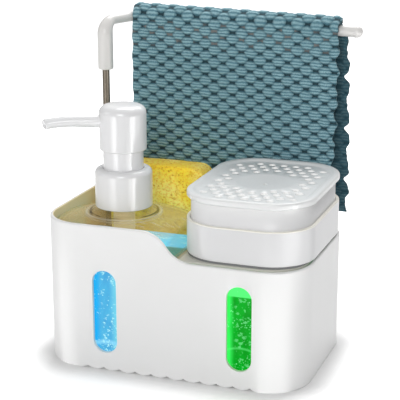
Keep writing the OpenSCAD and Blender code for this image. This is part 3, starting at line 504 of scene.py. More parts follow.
def outline(box, radii, inset, corner_steps, side_steps):
    """Rectangle with round corners, drawn in by inset, from the front left corner round by the right: each
    corner is centre + r (cos t, sin t) over a quarter turn, each side a straight run between two."""
    x0, x1, y0, y1 = box[0] + inset, box[1] - inset, box[2] + inset, box[3] - inset
    r = [max(v - inset, 0.01) for v in radii]
    centres = [(x0 + r[0], y0 + r[0]), (x1 - r[1], y0 + r[1]), (x1 - r[2], y1 - r[2]), (x0 + r[3], y1 - r[3])]
    corners = []
    for k in range(4):
        t = np.pi + k * np.pi / 2 + np.linspace(0, np.pi / 2, corner_steps)
        corners.append(np.stack([centres[k][0] + r[k] * np.cos(t), centres[k][1] + r[k] * np.sin(t)], -1))
    points = []
    for k in range(4):
        a, b = corners[k][-1], corners[(k + 1) % 4][0]
        share = (np.arange(1, side_steps[k]) / side_steps[k])[:, None]
        points += [corners[k], a + (b - a) * share]
    return np.concatenate(points)


def closed(grid, first, last):
    """Grid with a point more before and after each row, so that its ends close on poles."""
    ends = [np.tile(np.array(p, float), (len(grid), 1, 1)) for p in (first, last)]
    return np.concatenate([ends[0], grid, ends[1]], 1)


def carried(box, radii, profile, steps):
    """Profile of (inset, z) carried round a rounded rectangle: outline(inset j)[i] at height z j."""
    return np.stack([raised(outline(box, radii, inset, **steps), z) for inset, z in profile], 1)


def slab(name, box, radii, profile, steps):
    """Profile carried round a plan and closed over the plan's middle at both ends."""
    centre = (box[0] + box[1]) / 2, (box[2] + box[3]) / 2
    ends = [(*centre, profile[k][1]) for k in (0, -1)]
    return surface(name, closed(carried(box, radii, profile, steps), *ends))


def to_circle(box, radii, inset, centre, r, share, steps):
    """Ring between a rounded rectangle and a circle round centre: each point is (1 - share) plan + share
    circle, at the same angle."""
    flat = outline(box, radii, inset, **steps)
    t = np.arctan2(flat[:, 1] - centre[1], flat[:, 0] - centre[0])
    return (1 - share) * flat + share * (centre + r * np.stack([np.cos(t), np.sin(t)], -1))


def swept(path, radii, sides=28):
    """Tube round a path: point = path + r (cos t N + sin t B), N and B square to the path's run."""
    run = np.gradient(path, axis=0)
    run /= np.linalg.norm(run, axis=1, keepdims=True)
    side = np.cross(run, (0.0, 0.0, 1.0))
    weak = np.linalg.norm(side, axis=1) < 1e-3
    side[weak] = side[~weak][0] if (~weak).any() else (1.0, 0.0, 0.0)
    side /= np.linalg.norm(side, axis=1, keepdims=True)
    over = np.cross(side, run)
    t = np.linspace(0, TAU, sides, endpoint=False)[:, None, None]
    return path + radii[:, None] * (np.cos(t) * side + np.sin(t) * over)


def raised(flat, z):
    """Points in plan at one height, or at a height each."""
    return np.column_stack([flat, np.broadcast_to(z, len(flat))])


def smoothstep(x, a, b):
    """0 up to a, 1 from b on, and t^2 (3 - 2 t) between them, with t the share of the way."""
    t = np.clip((x - a) / (b - a), 0, 1)
    return t * t * (3 - 2 * t)


# Case
LOW, SWOOP_START, SWOOP_RUN = 77.8, -16.0, 34.0
PITCH, SCALLOP_H, SCALLOP_DEPTH, SCALLOP_FADE, SCALLOPS, SHIFT = 10.9, 1.8, 1.6, 6.0, 14, 1.3
FOOT_R, LIP_R, CORNER_R, OVERRUN, EDGE = 0.5, 1.0, 1.5, 3.0, 0.3


def rim_height(x):
    """Two equal arcs down to the low rim: z = top - (r - sqrt(r^2 - dx^2)), then the same upside down."""
    drop, half = TALL - LOW, SWOOP_RUN / 2
    r = (SWOOP_RUN ** 2 + drop ** 2) / (4 * drop)
    u = np.clip(x - SWOOP_START, 0, SWOOP_RUN)
    first = TALL - r + np.sqrt(r * r - np.minimum(u, half) ** 2)
    second = LOW + r - np.sqrt(r * r - np.minimum(SWOOP_RUN - u, half) ** 2)
    return np.where(u < half, first, second)


def scallop_height(x):
    """Lower edge of the front: round lobes, z = r - sqrt(r^2 - dx^2) at dx from each lobe's middle."""
    row = PITCH * SCALLOPS
    u = x - SHIFT + row / 2
    r = ((PITCH / 2) ** 2 + SCALLOP_H ** 2) / (2 * SCALLOP_H)
    dx = np.mod(u, PITCH) - PITCH / 2
    return np.where((u > 0) & (u < row), r - np.sqrt(r * r - dx * dx), 0.0)


def make_case():
    """Rows of (inset, height, 1 where the height counts from the rim) carried round the plan. Under the front
    they rise with the scallops by scallop height * (1 - inset / depth)^0.5 * (1 - z / fade), and the windows
    are cut out last."""
    box, _, _ = plan_of("outer_case")
    radii = [CASE_R] * 4
    rows = [(p, q, 0) for p, q in rounded([(20, 0), (0, 0, FOOT_R), (0, 40)], 5)[:-1]]
    rows += [(0, q, 0) for q in (SCALLOP_FADE, 14.0, 30.0, 50.0)]
    crown = rounded([(0, -20), (0, 0, LIP_R), (WALL, 0, LIP_R * 0.8), (WALL, -20)], 7)
    rows += [(p, q, 1) for p, q in crown]
    rows += [(p, q, 0) for p, q in rounded([(WALL, 40), (WALL, FLOOR, CORNER_R), (20, FLOOR)], 6)[1:]]
    steps = dict(corner_steps=24, side_steps=(480, 16, 160, 16))
    rings = np.stack([outline(box, radii, p, **steps) for p, _, _ in rows], 1)
    base = outline(box, radii, 0, **steps)
    rim = rim_height(base[:, 0])[:, None]
    front = base[:, 1] < box[2] + 0.01
    feet = np.where(front, scallop_height(base[:, 0]), 0.0)[:, None]
    inset, z, top = (np.array([r[k] for r in rows], float)[None] for k in range(3))
    cut = np.clip(1 - inset / SCALLOP_DEPTH, 0, 1) ** 0.5 * np.clip(1 - z / SCALLOP_FADE, 0, 1) * (1 - top)
    grid = np.concatenate([rings, (z + top * rim + feet * cut)[..., None]], -1)
    case = surface("case_shell", closed(grid, (0, 0, 0), (0, 0, FLOOR)))
    t = np.linspace(0, TAU, 96, endpoint=False)
    w, h = WINDOW_W / 2, WINDOW_H / 2
    ys = (box[2] - OVERRUN, box[2] + WALL + OVERRUN)
    cutters = []
    for x in WINDOWS:
        ring = x + w * np.cos(t), WINDOW_Z + h + w * np.sin(t) + np.sign(np.sin(t)) * (h - w)
        wall = np.stack([np.stack([ring[0], np.full(len(t), y), ring[1]], -1) for y in ys], 1)
        cutters.append(surface("window_cutter", closed(wall, *((x, y, WINDOW_Z + h) for y in ys))))
    cut_out(case, cutters)
    bevel = case.modifiers.new("edge", "BEVEL")
    bevel.width, bevel.segments = EDGE * SCALE, 2
    bevel.limit_method, bevel.angle_limit = "ANGLE", np.radians(60)
    apply_modifiers(case)
    place_piece(case, case_finish, "case", ["outer_case"])


def cut_out(obj, cutters):
    """Cuts closed pieces out of a closed piece and deletes them."""
    for cutter in cutters:
        cut = obj.modifiers.new("cut", "BOOLEAN")
        cut.operation, cut.solver, cut.object = "DIFFERENCE", "EXACT", cutter
    apply_modifiers(obj)
    for cutter in cutters:
        bpy.data.objects.remove(cutter)


def apply_modifiers(obj):
    graph = bpy.context.evaluated_depsgraph_get()
    mesh = bpy.data.meshes.new_from_object(obj.evaluated_get(graph))
    obj.modifiers.clear()
    obj.data = mesh


BOSS_R, BOSS_H, BORE_R, BORE_Z = 4.5, 62.0, 2.55, 20.0
DIVIDER_X, DIVIDER_T, DIVIDER_H, SLOT_Y = 0.4, 1.6, 42.0, 15.2
RIBS, RIB_T, RIB_H = (-61.0, -15.0), 2.0, 5.7
IN_X, IN_Y = (half - WALL for half in CASE_HALF)
ROOT_Z, FITTING_EDGE = 1.5, 0.5


def make_fittings():
    """Dividers, the sponge's two ribs and the boss that holds the rail, rooted in the case's floor. The
    first four are slabs (x, x, y, y, top) with every edge rounded."""
    pieces = {
        "divider_between_bottles": (DIVIDER_X, DIVIDER_X + DIVIDER_T, -IN_Y, IN_Y, DIVIDER_H),
        "divider_before_sponge": (-IN_X, DIVIDER_X + 0.2, SLOT_Y, SLOT_Y + DIVIDER_T, DIVIDER_H),
        "sponge_rib_left": (RIBS[0], RIBS[0] + RIB_T, SLOT_Y + 1, IN_Y, RIB_H),
        "sponge_rib_right": (RIBS[1], RIBS[1] + RIB_T, SLOT_Y + 1, IN_Y, RIB_H),
    }
    steps = dict(corner_steps=5, side_steps=(2, 2, 2, 2))
    for name, (*box, top) in pieces.items():
        deep, r = 0.98 * min(box[1] - box[0], box[3] - box[2]) / 2, FITTING_EDGE
        profile = rounded([(deep, ROOT_Z), (0, ROOT_Z, r), (0, top, r), (deep, top)], 5)
        piece = slab(name, box, [r] * 4, profile, steps)
        place_piece(piece, case_finish, "case")
    boss = rounded([(0, ROOT_Z), (BOSS_R, ROOT_Z), (BOSS_R, BOSS_H, 0.8), (BORE_R, BOSS_H, 0.3),
                    (BORE_R, BORE_Z), (0, BORE_Z)], 6)
    place_piece(surface("rail_boss", turned(boss, RAIL_XY)), case_finish, "case")


make_case()
make_fittings()


# Bottles and soaps
BOTTLE_WALL, PUMP_RADII, PRESS_RADII = 1.6, [25.0, 9.0, 9.0, 9.0], [8.0, 25.0, 25.0, 8.0]
PLUG_R, PLUG_PLAY, MENISCUS, SOAP_PLAY = 28.0, 0.3, 0.7, 0.2
PLAN_STEPS = dict(corner_steps=14, side_steps=(24, 12, 24, 12))
NECK_R, NECK_BORE, DOME_R, SHOULDER_Z = 16.2, 13.8, 122.0, 97.5


def make_pump_bottle():
    """Walls carried round the bottle's plan, then a shoulder in which each ring moves from the plan to the
    neck's circle: ring(w) = (1 - w) plan + w circle, at the dome's height z = dome + sqrt(R^2 - d^2)."""
    box, low, top = plan_of("pump_bottle")
    steps = dict(corner_steps=20, side_steps=(30, 20, 30, 20))

    def ring_at(inset, share, neck):
        return to_circle(box, PUMP_RADII, inset, PUMP_XY, neck, share, steps)

    def shell(inset, neck, low_z, top_z, foot_r):
        rings = []
        for p, q in rounded([(12, low_z), (0, low_z, foot_r), (0, 60)], 6):
            rings.append(raised(ring_at(inset + p, 0, neck), q))
        dome = SHOULDER_Z - np.sqrt(DOME_R ** 2 - NECK_R ** 2)
        for w in 1 - np.cos(np.linspace(0, np.pi / 2, 16)):
            flat = ring_at(inset + 1.2 * (1 - w), w, neck)
            d2 = ((flat - PUMP_XY) ** 2).sum(1)
            z = dome + np.sqrt((DOME_R - inset) ** 2 - d2)
            if w == 0:
                rings.append(raised(ring_at(inset, 0, neck), z - 1.6))
                rings.append(raised(ring_at(inset + 0.35, 0, neck), z - 0.45))
            rings.append(raised(flat, z))
        rings.append(raised(ring_at(inset, 1, neck), top_z))
        return rings

    outer = shell(0, NECK_R, low, top, 2.5)
    inner = shell(BOTTLE_WALL, NECK_BORE, low + BOTTLE_WALL, top, 1.6)
    grid = closed(np.stack(outer + inner[::-1], 1), (*PUMP_XY, low), (*PUMP_XY, low + BOTTLE_WALL))
    place_piece(surface("pump_bottle_shell", grid), clear_finish, "pump_bottle_unit", ["pump_bottle"])


def make_press_bottle():
    """Walls carried round the bottle's plan, and a top that closes in to the tray plug's round hole."""
    box, low, top = plan_of("press_bottle")
    floor, roof = low + BOTTLE_WALL, top - BOTTLE_WALL
    walls = rounded([(15, low), (0, low, 2.5), (0, top, 0.7), (6, top)], 5)
    inside = rounded([(6, roof), (BOTTLE_WALL, roof, 0.5), (BOTTLE_WALL, floor, 1.2), (15, floor)], 5)
    rows = [(p, q, 0) for p, q in walls] + [(6, top, 1), (6, roof, 1)] + [(p, q, 0) for p, q in inside]
    hole = dict(centre=PRESS_XY, r=PLUG_R + PLUG_PLAY, steps=PLAN_STEPS)
    grid = np.stack([raised(to_circle(box, PRESS_RADII, p, share=w, **hole), q) for p, q, w in rows], 1)
    grid = closed(grid, (*PRESS_XY, low), (*PRESS_XY, floor))
    place_piece(surface("press_bottle_shell", grid), clear_finish, "press_bottle_unit", ["press_bottle"])


def make_soap(name, node, radii, body, finish):
    """Liquid with a rounded foot and a surface that climbs a little at the wall."""
    box, low, top = plan_of(node)
    level = top - MENISCUS
    profile = rounded([(15, low), (0, low, 1.2), (0, top, 0.05), (0.6, top - MENISCUS / 2, 0.3),
                       (3, level, 1), (15, level)], 5)
    inner = [r - BOTTLE_WALL - SOAP_PLAY for r in radii]
    place_piece(slab(name, box, inner, profile, PLAN_STEPS), finish, body, [node])


make_pump_bottle()
make_press_bottle()
make_soap("blue_soap_body", "blue_soap", PUMP_RADII, "pump_bottle_unit", blue_finish)
make_soap("green_soap_body", "green_soap", PRESS_RADII, "press_bottle_unit", green_finish)


# Pump
GUIDE_BORE, GUIDE_R, BOSS_OUT_R, FLANGE_Z, PUMP_WALL, PLAY = 3.65, 5.65, 5.4, 111.1, 1.8, 0.3
HEAD_DEPTH, STEM_DEPTH = 15.0, 16.0


def make_pump():
    """Head, collar and sleeve, each one profile turned round the pump's axis."""
    def sizes(node):
        lo, hi = mm(node)
        return lo[2], hi[2], hi[0] - PUMP_XY[0]

    def turn(name, node, body, corners):
        place_piece(surface(name, turned(rounded(corners), PUMP_XY)), pump_finish, body, [node])

    head_lo, head_top, head_r = sizes("pump_head")
    collar_lo, collar_top, collar_r = sizes("screw_collar")
    sleeve_lo, sleeve_top, sleeve_r = sizes("pump_chaplet")
    hollow, socket, hole_r = head_lo + HEAD_DEPTH, head_lo + STEM_DEPTH, sleeve_r + PLAY
    turn("pump_head_cap", "pump_head", "pump_top", [
        (0, head_top), (head_r * 0.55, head_top - 0.55, 30), (head_r, head_top - 1.6, 5.2),
        (head_r, head_lo, 0.7), (head_r - 1.7, head_lo, 0.5), (sleeve_r + 0.35, hollow, 0.8),
        (BOSS_OUT_R, hollow, 0.5), (BOSS_OUT_R, head_lo, 0.4), (GUIDE_BORE, head_lo, 0.3),
        (GUIDE_BORE, socket), (0, socket)])
    turn("screw_collar_ring", "screw_collar", "collar", [
        (hole_r, collar_top - 1), (hole_r, collar_top, 0.4), (collar_r, collar_top, 3.4),
        (collar_r, collar_lo, 0.6), (collar_r - PUMP_WALL, collar_lo, 0.4),
        (collar_r - PUMP_WALL, FLANGE_Z, 0.6), (hole_r, FLANGE_Z, 0.3), (hole_r, collar_top - 1)])
    cup_r, cup_z = sleeve_r - PUMP_WALL, FLANGE_Z + PUMP_WALL
    turn("pump_sleeve", "pump_chaplet", "pump_unit", [
        (GUIDE_BORE, sleeve_lo), (GUIDE_R, sleeve_lo, 0.3), (GUIDE_R, FLANGE_Z, 0.2),
        (sleeve_r, FLANGE_Z, 0.3), (sleeve_r, sleeve_top, 0.5), (cup_r, sleeve_top, 0.5), (cup_r, cup_z, 0.6),
        (GUIDE_BORE, cup_z, 0.3), (GUIDE_BORE, sleeve_lo)])


NOZZLE_R, NOZZLE_BORE, NOZZLE_UP, REACH = 3.4, 2.2, 18.8, 51.0
LEVEL_SHARE, BEND, DIP, TURN = 0.66, 9.0, 6.0, 206.0


def make_nozzle():
    """Tube of constant bore along a level run, a smooth bend and a straight end that falls: over the bend's
    width w its middle drops slope x^2 / (2 w), and it keeps its slope after it. The root swells a little
    below, and the mouth is cut aslant."""
    z = mm("pump_head")[0][2] + NOZZLE_UP
    start, end = REACH * LEVEL_SHARE - BEND / 2, REACH * LEVEL_SHARE + BEND / 2
    x = np.concatenate([[10.4], np.linspace(12, start, 9), np.linspace(start, end, 14)[1:],
                        np.linspace(40, REACH - 0.4, 8)])
    slope = np.tan(np.radians(DIP))
    drop = slope * np.clip(x - start, 0, BEND) ** 2 / (2 * BEND) + slope * np.maximum(x - end, 0)
    a = np.radians(TURN)
    path = np.stack([PUMP_XY[0] + x * np.cos(a), PUMP_XY[1] + x * np.sin(a), z - drop], -1)
    root = 0.5 * smoothstep(x, 11.5, 16) * (1 - smoothstep(x, 16, 46))
    path[:, 2] -= root
    outer = swept(path, NOZZLE_R * (1 - 0.03 * smoothstep(x, 20, 50)) + root)
    inner = swept(path, np.full(len(x), NOZZLE_BORE))
    lip = swept(path[-2:] + (path[-1] - path[-2]) * 0.35, np.array([NOZZLE_R, NOZZLE_R * 0.86]))[:, 1:]
    grid = np.concatenate([inner[:, :1], outer, lip, inner[:, ::-1]], 1)
    out, aside = np.array([np.cos(a), np.sin(a)]), np.array([-np.sin(a), np.cos(a)])
    along, across = (grid[..., :2] - PUMP_XY) @ out, (grid[..., :2] - PUMP_XY) @ aside
    grid[..., :2] -= (smoothstep(along, 44, 49) * 0.42 * (NOZZLE_R + across))[..., None] * out
    place_piece(surface("pump_nozzle_tube", grid), pump_finish, "pump_top", ["pump_nozzle"])


make_pump()
make_nozzle()


# Press top
TRAY_R, TRAY_WALL, SKIRT_WALL, PLUG_H, PLUG_WALL = 28.0, 2.2, 1.8, 3.6, 1.6
PRESS_STEPS = dict(corner_steps=24, side_steps=(10, 10, 10, 10))


def make_press_top():
    """Tray, the round plug under it that enters the bottle, and the skirt that slides in the tray."""
    box, low, top = plan_of("press_tray")
    under, deck = low + PLUG_H, low + PLUG_H + TRAY_WALL
    cup = rounded([(26, under), (0, under, 0.8), (0, top, 0.6), (TRAY_WALL, top, 0.6), (TRAY_WALL, deck, 0.3),
                   (26, deck)], 7)
    tray = slab("press_tray_cup", box, [TRAY_R] * 4, cup, PRESS_STEPS)
    place_piece(tray, tray_finish, "press_unit", ["press_tray"])
    r, bore, joined = PLUG_R, PLUG_R - PLUG_WALL, under + 0.8
    wall = rounded([(r, joined), (bore, joined), (bore, low, 0.4), (r, low, 0.4), (r, joined)], 4)
    plug = surface("press_tray_plug", turned(wall, PRESS_XY))
    place_piece(plug, pump_finish, "press_unit")
    inner, low, top = plan_of("press_skirt")
    wall = rounded([(0, top), (0, low, 0.5), (SKIRT_WALL, low, 0.5), (SKIRT_WALL, top), (0, top)], 5)
    skirt = surface("press_skirt_wall", carried(inner, [TRAY_R - (box[1] - inner[1])] * 4, wall, PRESS_STEPS))
    place_piece(skirt, skirt_finish, "press_plunger", ["press_skirt"])


DISH_H, FIELD_H, LIP_W = 1.7, 1.5, 5.0
DRAIN_R, DRAIN_PITCH, DRAIN_LAND, DISH_LAND, OUTLET_R, PLATE_FOOT = 2.3, 8.2, 1.2, 3.0, 1.6, 2.4


def drain_places(box):
    """Staggered rows of points kept inside the lip's rounded outline and outside the dish."""
    inset = LIP_W + DRAIN_LAND + DRAIN_R
    half = np.array([box[1] - box[0], box[3] - box[2]]) / 2 - inset
    corner = TRAY_R - inset
    j, i = np.meshgrid(np.arange(-8, 9), np.arange(-8, 9), indexing="ij")
    p = np.stack([(i + 0.5 * (j % 2)) * DRAIN_PITCH, j * DRAIN_PITCH * np.sin(np.pi / 3)], -1).reshape(-1, 2)
    past = np.maximum(np.abs(p) - half + corner, 0)
    keep = (np.linalg.norm(past, axis=1) <= corner) & (np.abs(p) <= half).all(1)
    keep &= np.linalg.norm(p, axis=1) > DISH_R + DISH_LAND + DRAIN_R
    return p[keep]


def make_plate():
    """Plate whose rings move from the tray's outline to the dish's circle: a raised round lip, a level
    field and a dish that is part of a sphere."""
    box, low, top = plan_of("press_plate")
    under, field, neck = low + PLATE_FOOT, top - FIELD_H, DISH_R + DISH_LAND

    def ring(inset, z, share=0.0, r=DISH_R):
        return raised(to_circle(box, [TRAY_R] * 4, inset, PRESS_XY, r, share, PRESS_STEPS), z)

    edge = rounded([(10, under), (0, under, 0.9), (0, top, 1.5), (LIP_W - 1.2, top, 1.3),
                    (LIP_W + 0.9, field, 2.2), (12, field)], 8)
    boss = (low, OUTLET_R), (low, neck - 0.6), (low + 0.6, neck), (under, neck)
    rings = [ring(6, z, 1, r) for z, r in boss]
    rings += [ring(p, q) for p, q in edge]
    rings += [ring(12, field, w, DISH_R + 1.2) for w in (0.5, 1.0)]
    ball = (DISH_R ** 2 + DISH_H ** 2) / (2 * DISH_H)
    falling = np.linspace(DISH_R - 1.2, OUTLET_R + 0.3, 9)
    for r in (DISH_R + 0.5, DISH_R - 0.3, *falling, OUTLET_R + 0.1, OUTLET_R):
        z = field - DISH_H + ball - np.sqrt(ball ** 2 - r * r) if r < DISH_R else field - 0.02
        rings.append(ring(6, z, 1, r))
    rings.append(rings[0])
    plate = surface("press_plate_top", np.stack(rings, 1))
    r, below, above = DRAIN_R, low - 1, field + 0.35
    hole = rounded([(0, below), (r, below), (r, field - 0.25), (r + 0.6, above), (0, above)])
    cutters = [surface("drain_cutter", turned(hole, p, 20)) for p in drain_places(box) + PRESS_XY]
    with bpy.context.temp_override(active_object=cutters[0], selected_editable_objects=cutters):
        bpy.ops.object.join()
    cut_out(plate, cutters[:1])
    place_piece(plate, plate_finish, "press_plunger", ["press_plate"])


make_press_top()
make_plate()


# Sponge
SPONGE_R, SPONGE_EDGE, SPONGE_SKIN, SPONGE_CROWN, PORES = 9.0, 3.0, 0.25, 1.0, 1300


def make_sponge():
    """Rounded block whose faces are full in the middle and dented by pores: each point moves in by the sum
    over the pores of width / 2 * exp(-(distance / width)^2), at most 1, plus slow waves."""
    lo, hi = mm("sponge")
    core, half = (lo + hi) / 2, (hi - lo) / 2 - SPONGE_SKIN
    plan_box = [-half[0], half[0], -half[2], half[2]]
    steps = dict(corner_steps=16, side_steps=(60, 90, 60, 90))
    shoulder = half[1] - SPONGE_CROWN
    rows = [(SPONGE_EDGE * (1 - np.cos(t)), shoulder - SPONGE_EDGE * (1 - np.sin(t)), 1.0)
            for t in np.linspace(0, np.pi / 2, 10)]
    rows += [(SPONGE_EDGE, half[1] - SPONGE_CROWN * s ** 4, s) for s in np.linspace(0.97, 0.0, 26)]
    radii = [SPONGE_R] * 4
    side = np.stack([raised(outline(plan_box, radii, p, **steps) * s, q) for p, q, s in rows], 1)
    heights = np.linspace(-rows[0][1], rows[0][1], 22)[1:-1]
    wide = np.stack([raised(outline(plan_box, radii, 0, **steps), q) for q in heights], 1)
    grid = np.concatenate([side[:, ::-1] * [1, 1, -1], wide, side], 1)[..., [0, 2, 1]]
    rng = np.random.default_rng(7)
    pores = rng.uniform(-half, half, (PORES, 3))
    face = np.array([0, 1, 1, 1, 2, 1])[rng.integers(0, 6, PORES)]
    pores[np.arange(PORES), face] = np.where(rng.random(PORES) < 0.5, -1, 1) * half[face]
    width = rng.uniform(0.5, 1.3, PORES)
    flat = grid.reshape(-1, 3)
    dent = np.concatenate([
        (0.5 * width * np.exp(-((part[:, None] - pores) ** 2).sum(-1) / width ** 2)).sum(1)
        for part in np.array_split(flat, 12)])
    inwards = flat / half ** 2 * (np.abs(flat) / half) ** 6
    inwards /= np.maximum(np.linalg.norm(inwards, axis=1, keepdims=True), 1e-9)
    slow = 0.25 * np.sin(flat[:, 0] / 9 + 1) * np.sin(flat[:, 2] / 13) + 0.25
    flat = flat - inwards * (np.minimum(dent, 1.0) + slow)[:, None]
    sponge = surface("sponge_block", (flat + core).reshape(grid.shape))
    place_piece(sponge, sponge_finish, "sponge_block", ["sponge"])


make_sponge()


# Towel rail
BAR_R, ELBOW_R, KNOB_R, ROD_R, ELBOW, CRANK_BEND, BORE_H = 3.6, 5.3, 4.0, 2.5, 9.0, 6.0, 22.0
RAIL_Z, DROOP, BAR_X, BAR_Y, BAR_END = 209.6, 3.8, -70.5, 67.7, 90.95


def droop(x):
    """How far the bar has sunk at x, in proportion to the distance from its start."""
    return DROOP * (x - BAR_X) / (BAR_END - BAR_X)


def make_rail():
    """Sleeve, crank and bar as one tube along arcs and straight runs; its radius falls from the sleeve's to
    the bar's over the first bend, and the end is a round knob."""
    bottom = mm("rail_arm")[0][2]
    turn = np.arctan2(BAR_Y - RAIL_XY[1], BAR_X - RAIL_XY[0])
    out, up, foot = np.array([[np.cos(turn), np.sin(turn), 0], [0, 0, 1], [*RAIL_XY, 0]])
    a = np.linspace(0, np.pi / 2, 16)[:, None]
    first = foot + up * (RAIL_Z - ELBOW) + ELBOW * ((1 - np.cos(a)) * out + np.sin(a) * up)
    start_x = BAR_X + CRANK_BEND * np.tan(turn / 2)
    b = np.linspace(turn, 0, 14)[:, None]
    side = BAR_Y - CRANK_BEND * (1 - np.cos(b))
    second = np.concatenate([start_x - CRANK_BEND * np.sin(b), side, np.full_like(b, RAIL_Z)], 1)
    knob = BAR_END - KNOB_R
    x = np.concatenate([np.linspace(start_x, knob - 6, 24)[1:], knob - np.linspace(4.5, 0.01, 8),
                        knob + KNOB_R * np.sin(np.linspace(0.1, np.pi / 2, 12))])
    bar = np.stack([x, np.full_like(x, BAR_Y), RAIL_Z - droop(x)], -1)
    heights = [*(bottom + np.array([0, 0.4, 1.2, 1.4])), RAIL_Z - ELBOW - 0.2]
    path = np.concatenate([foot + up * np.array(heights)[:, None], first, second, bar])
    swell = np.concatenate([
        ELBOW_R - np.array([0.8, 0.2, 0, 0, 0]),
        ELBOW_R + (BAR_R - ELBOW_R) * smoothstep(a[:, 0], 0, np.pi / 2), np.full(len(b), BAR_R),
        np.where(x < knob - 0.005, BAR_R + (KNOB_R - BAR_R) * smoothstep(x, knob - 5, knob),
                 np.sqrt(np.maximum(KNOB_R ** 2 - (x - knob) ** 2, 1e-6)))])
    bore = swept(foot + up * np.array([[bottom], [bottom + BORE_H]]), np.full(2, BORE_R), 32)
    grid = np.concatenate([bore[:, ::-1], swept(path, swell, 32)], 1)
    tube = surface("rail_arm_tube", closed(grid, bore[:, 1].mean(0), path[-1]))
    place_piece(tube, rail_finish, "rail", ["rail_arm"])
    _, low, high = plan_of("rail_rod")
    rod = rounded([(0, low), (ROD_R, low, 0.3), (ROD_R, high, 0.3), (0, high)], 4)
    place_piece(surface("rail_rod_bar", turned(rod, RAIL_XY, 48)), rod_finish, "rail", ["rail_rod"])


make_rail()


# Cloth
CLOTH_W, CLOTH_Z, CLOTH_X, CLOTH_T, GAP, BACK_SHIFT = 144.0, 85.0, -67.2, 4.4, 0.6, 4.0
PUFF_W, PUFF_H, EDGE_PITCH, EDGE_DEPTH = 12.9, 8.5, 17.6, 2.4


def make_cloth():
    """Waffle cloth hung over the bar. Along its length s the middle surface runs up the front, half round
    the bar and down the back. The outer side sinks between the knit's puffs, by the q of waffle_knit, and
    the side edges swing by about depth * exp(-distance from the edge / 6) * |sin(pi s / pitch)|."""
    mid_r = BAR_R + GAP + CLOTH_T / 2
    leg, arc = RAIL_Z - CLOTH_Z, np.pi * mid_r
    length = 2 * leg + arc
    s, u = np.meshgrid(np.linspace(0, length, 300), np.linspace(0, 1, 150), indexing="ij")
    a = np.clip((s - leg) / mid_r, 0, np.pi)
    down = np.where(s < leg, leg - s, np.maximum(s - leg - arc, 0))
    normal_y, normal_z = -np.cos(a), np.sin(a)
    from_edge, from_end = np.minimum(u, 1 - u) * CLOTH_W, np.minimum(s, length - s)
    edge = EDGE_DEPTH * np.exp(-from_edge / 6.0) * np.where(u > 0.5, 1.0, -0.3)
    behind = smoothstep(s, leg + arc / 2, leg + arc + 12)
    wave = np.abs(np.sin(np.pi * s / EDGE_PITCH)) ** 0.9 - 0.6
    wave += 0.22 * np.sin(s / 1.9) + 0.15 * np.sin(s / 1.1 + 1)
    x = CLOTH_X - 3.4 + u * (CLOTH_W + 1.0) + BACK_SHIFT * s / length
    x += edge * (1 + 0.2 * behind) * wave + 0.4 * np.sin(s / 23 + 4 * u) + 3.6 * behind * u ** 4
    x = np.clip(x, CLOTH_X - 4.4, CLOTH_X + CLOTH_W + BACK_SHIFT + 5.5)
    sway = 0.9 * down / leg * (1 - np.cos(TAU * 2.5 * u + 0.6 * np.sin(s / 40))) / 2
    knit = np.stack([(x - CLOTH_X) / PUFF_W, s / PUFF_H], -1)
    near = np.abs(np.mod(knit, 1) - 0.5)
    q = np.minimum(*(((v / (PUFF_ALONG, PUFF_ACROSS)) ** 2).sum(-1) for v in (near, 0.5 - near)))
    puff = 1 - 0.6 * smoothstep(q, 0.3, 1.05) - 0.4 * smoothstep(q, 1.05, 1.5)
    hem = smoothstep(from_end, 0, 2.5) * smoothstep(from_edge, 0, 2.5)
    thick = (CLOTH_T / 2 - 0.1) * (0.35 + 0.65 * hem)

    def layer(side):
        relief = 1.35 * (1 - puff) if side > 0 else 0.9 * puff
        lift = side * (thick - relief * hem) - sway + (1.2 * np.sin(a) if side > 0 else 0)
        out = mid_r + lift
        return np.stack([x, BAR_Y + normal_y * out, RAIL_Z - droop(x) - down + normal_z * out], -1)

    outer, inner = layer(1), layer(-1)
    hems = [np.concatenate([row, row[:, ::-1]], 1) for row in (inner[:1], inner[-1:])]
    grid = np.concatenate([hems[0], np.concatenate([outer, inner[:, ::-1]], 1), hems[1]], 0)
    knit = np.concatenate([knit, knit[:, ::-1] + [INNER_MAP, 0]], 1)
    knit = np.concatenate([knit[:1], knit, knit[-1:]], 0)
    cloth = surface("dish_cloth_knit", grid, wrap=(False, True), uv=knit)
    place_piece(cloth, cloth_finish, "rail", ["dish_cloth"])
    length * SCALE


make_cloth()


# Inner CAD pieces
INNER = {
    rubber_finish: ["foot_pads", "pump_gasket", "pump_piston_seal", "tray_gasket", "press_piston_seal"],
    pump_finish: ["press_chaplet", "pump_stem"],
    cream_finish: ["pump_cylinder", "press_cylinder", "press_stem"],
    clear_finish: ["pump_dip_tube", "press_dip_tube"],
    spring_finish: ["pump_spring", "press_spring", "pump_ball", "press_ball"],
}
for finish, nodes in INNER.items():
    for node in nodes:
        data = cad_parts[node].data
        data.materials.clear()
        data.materials.append(finish.material)


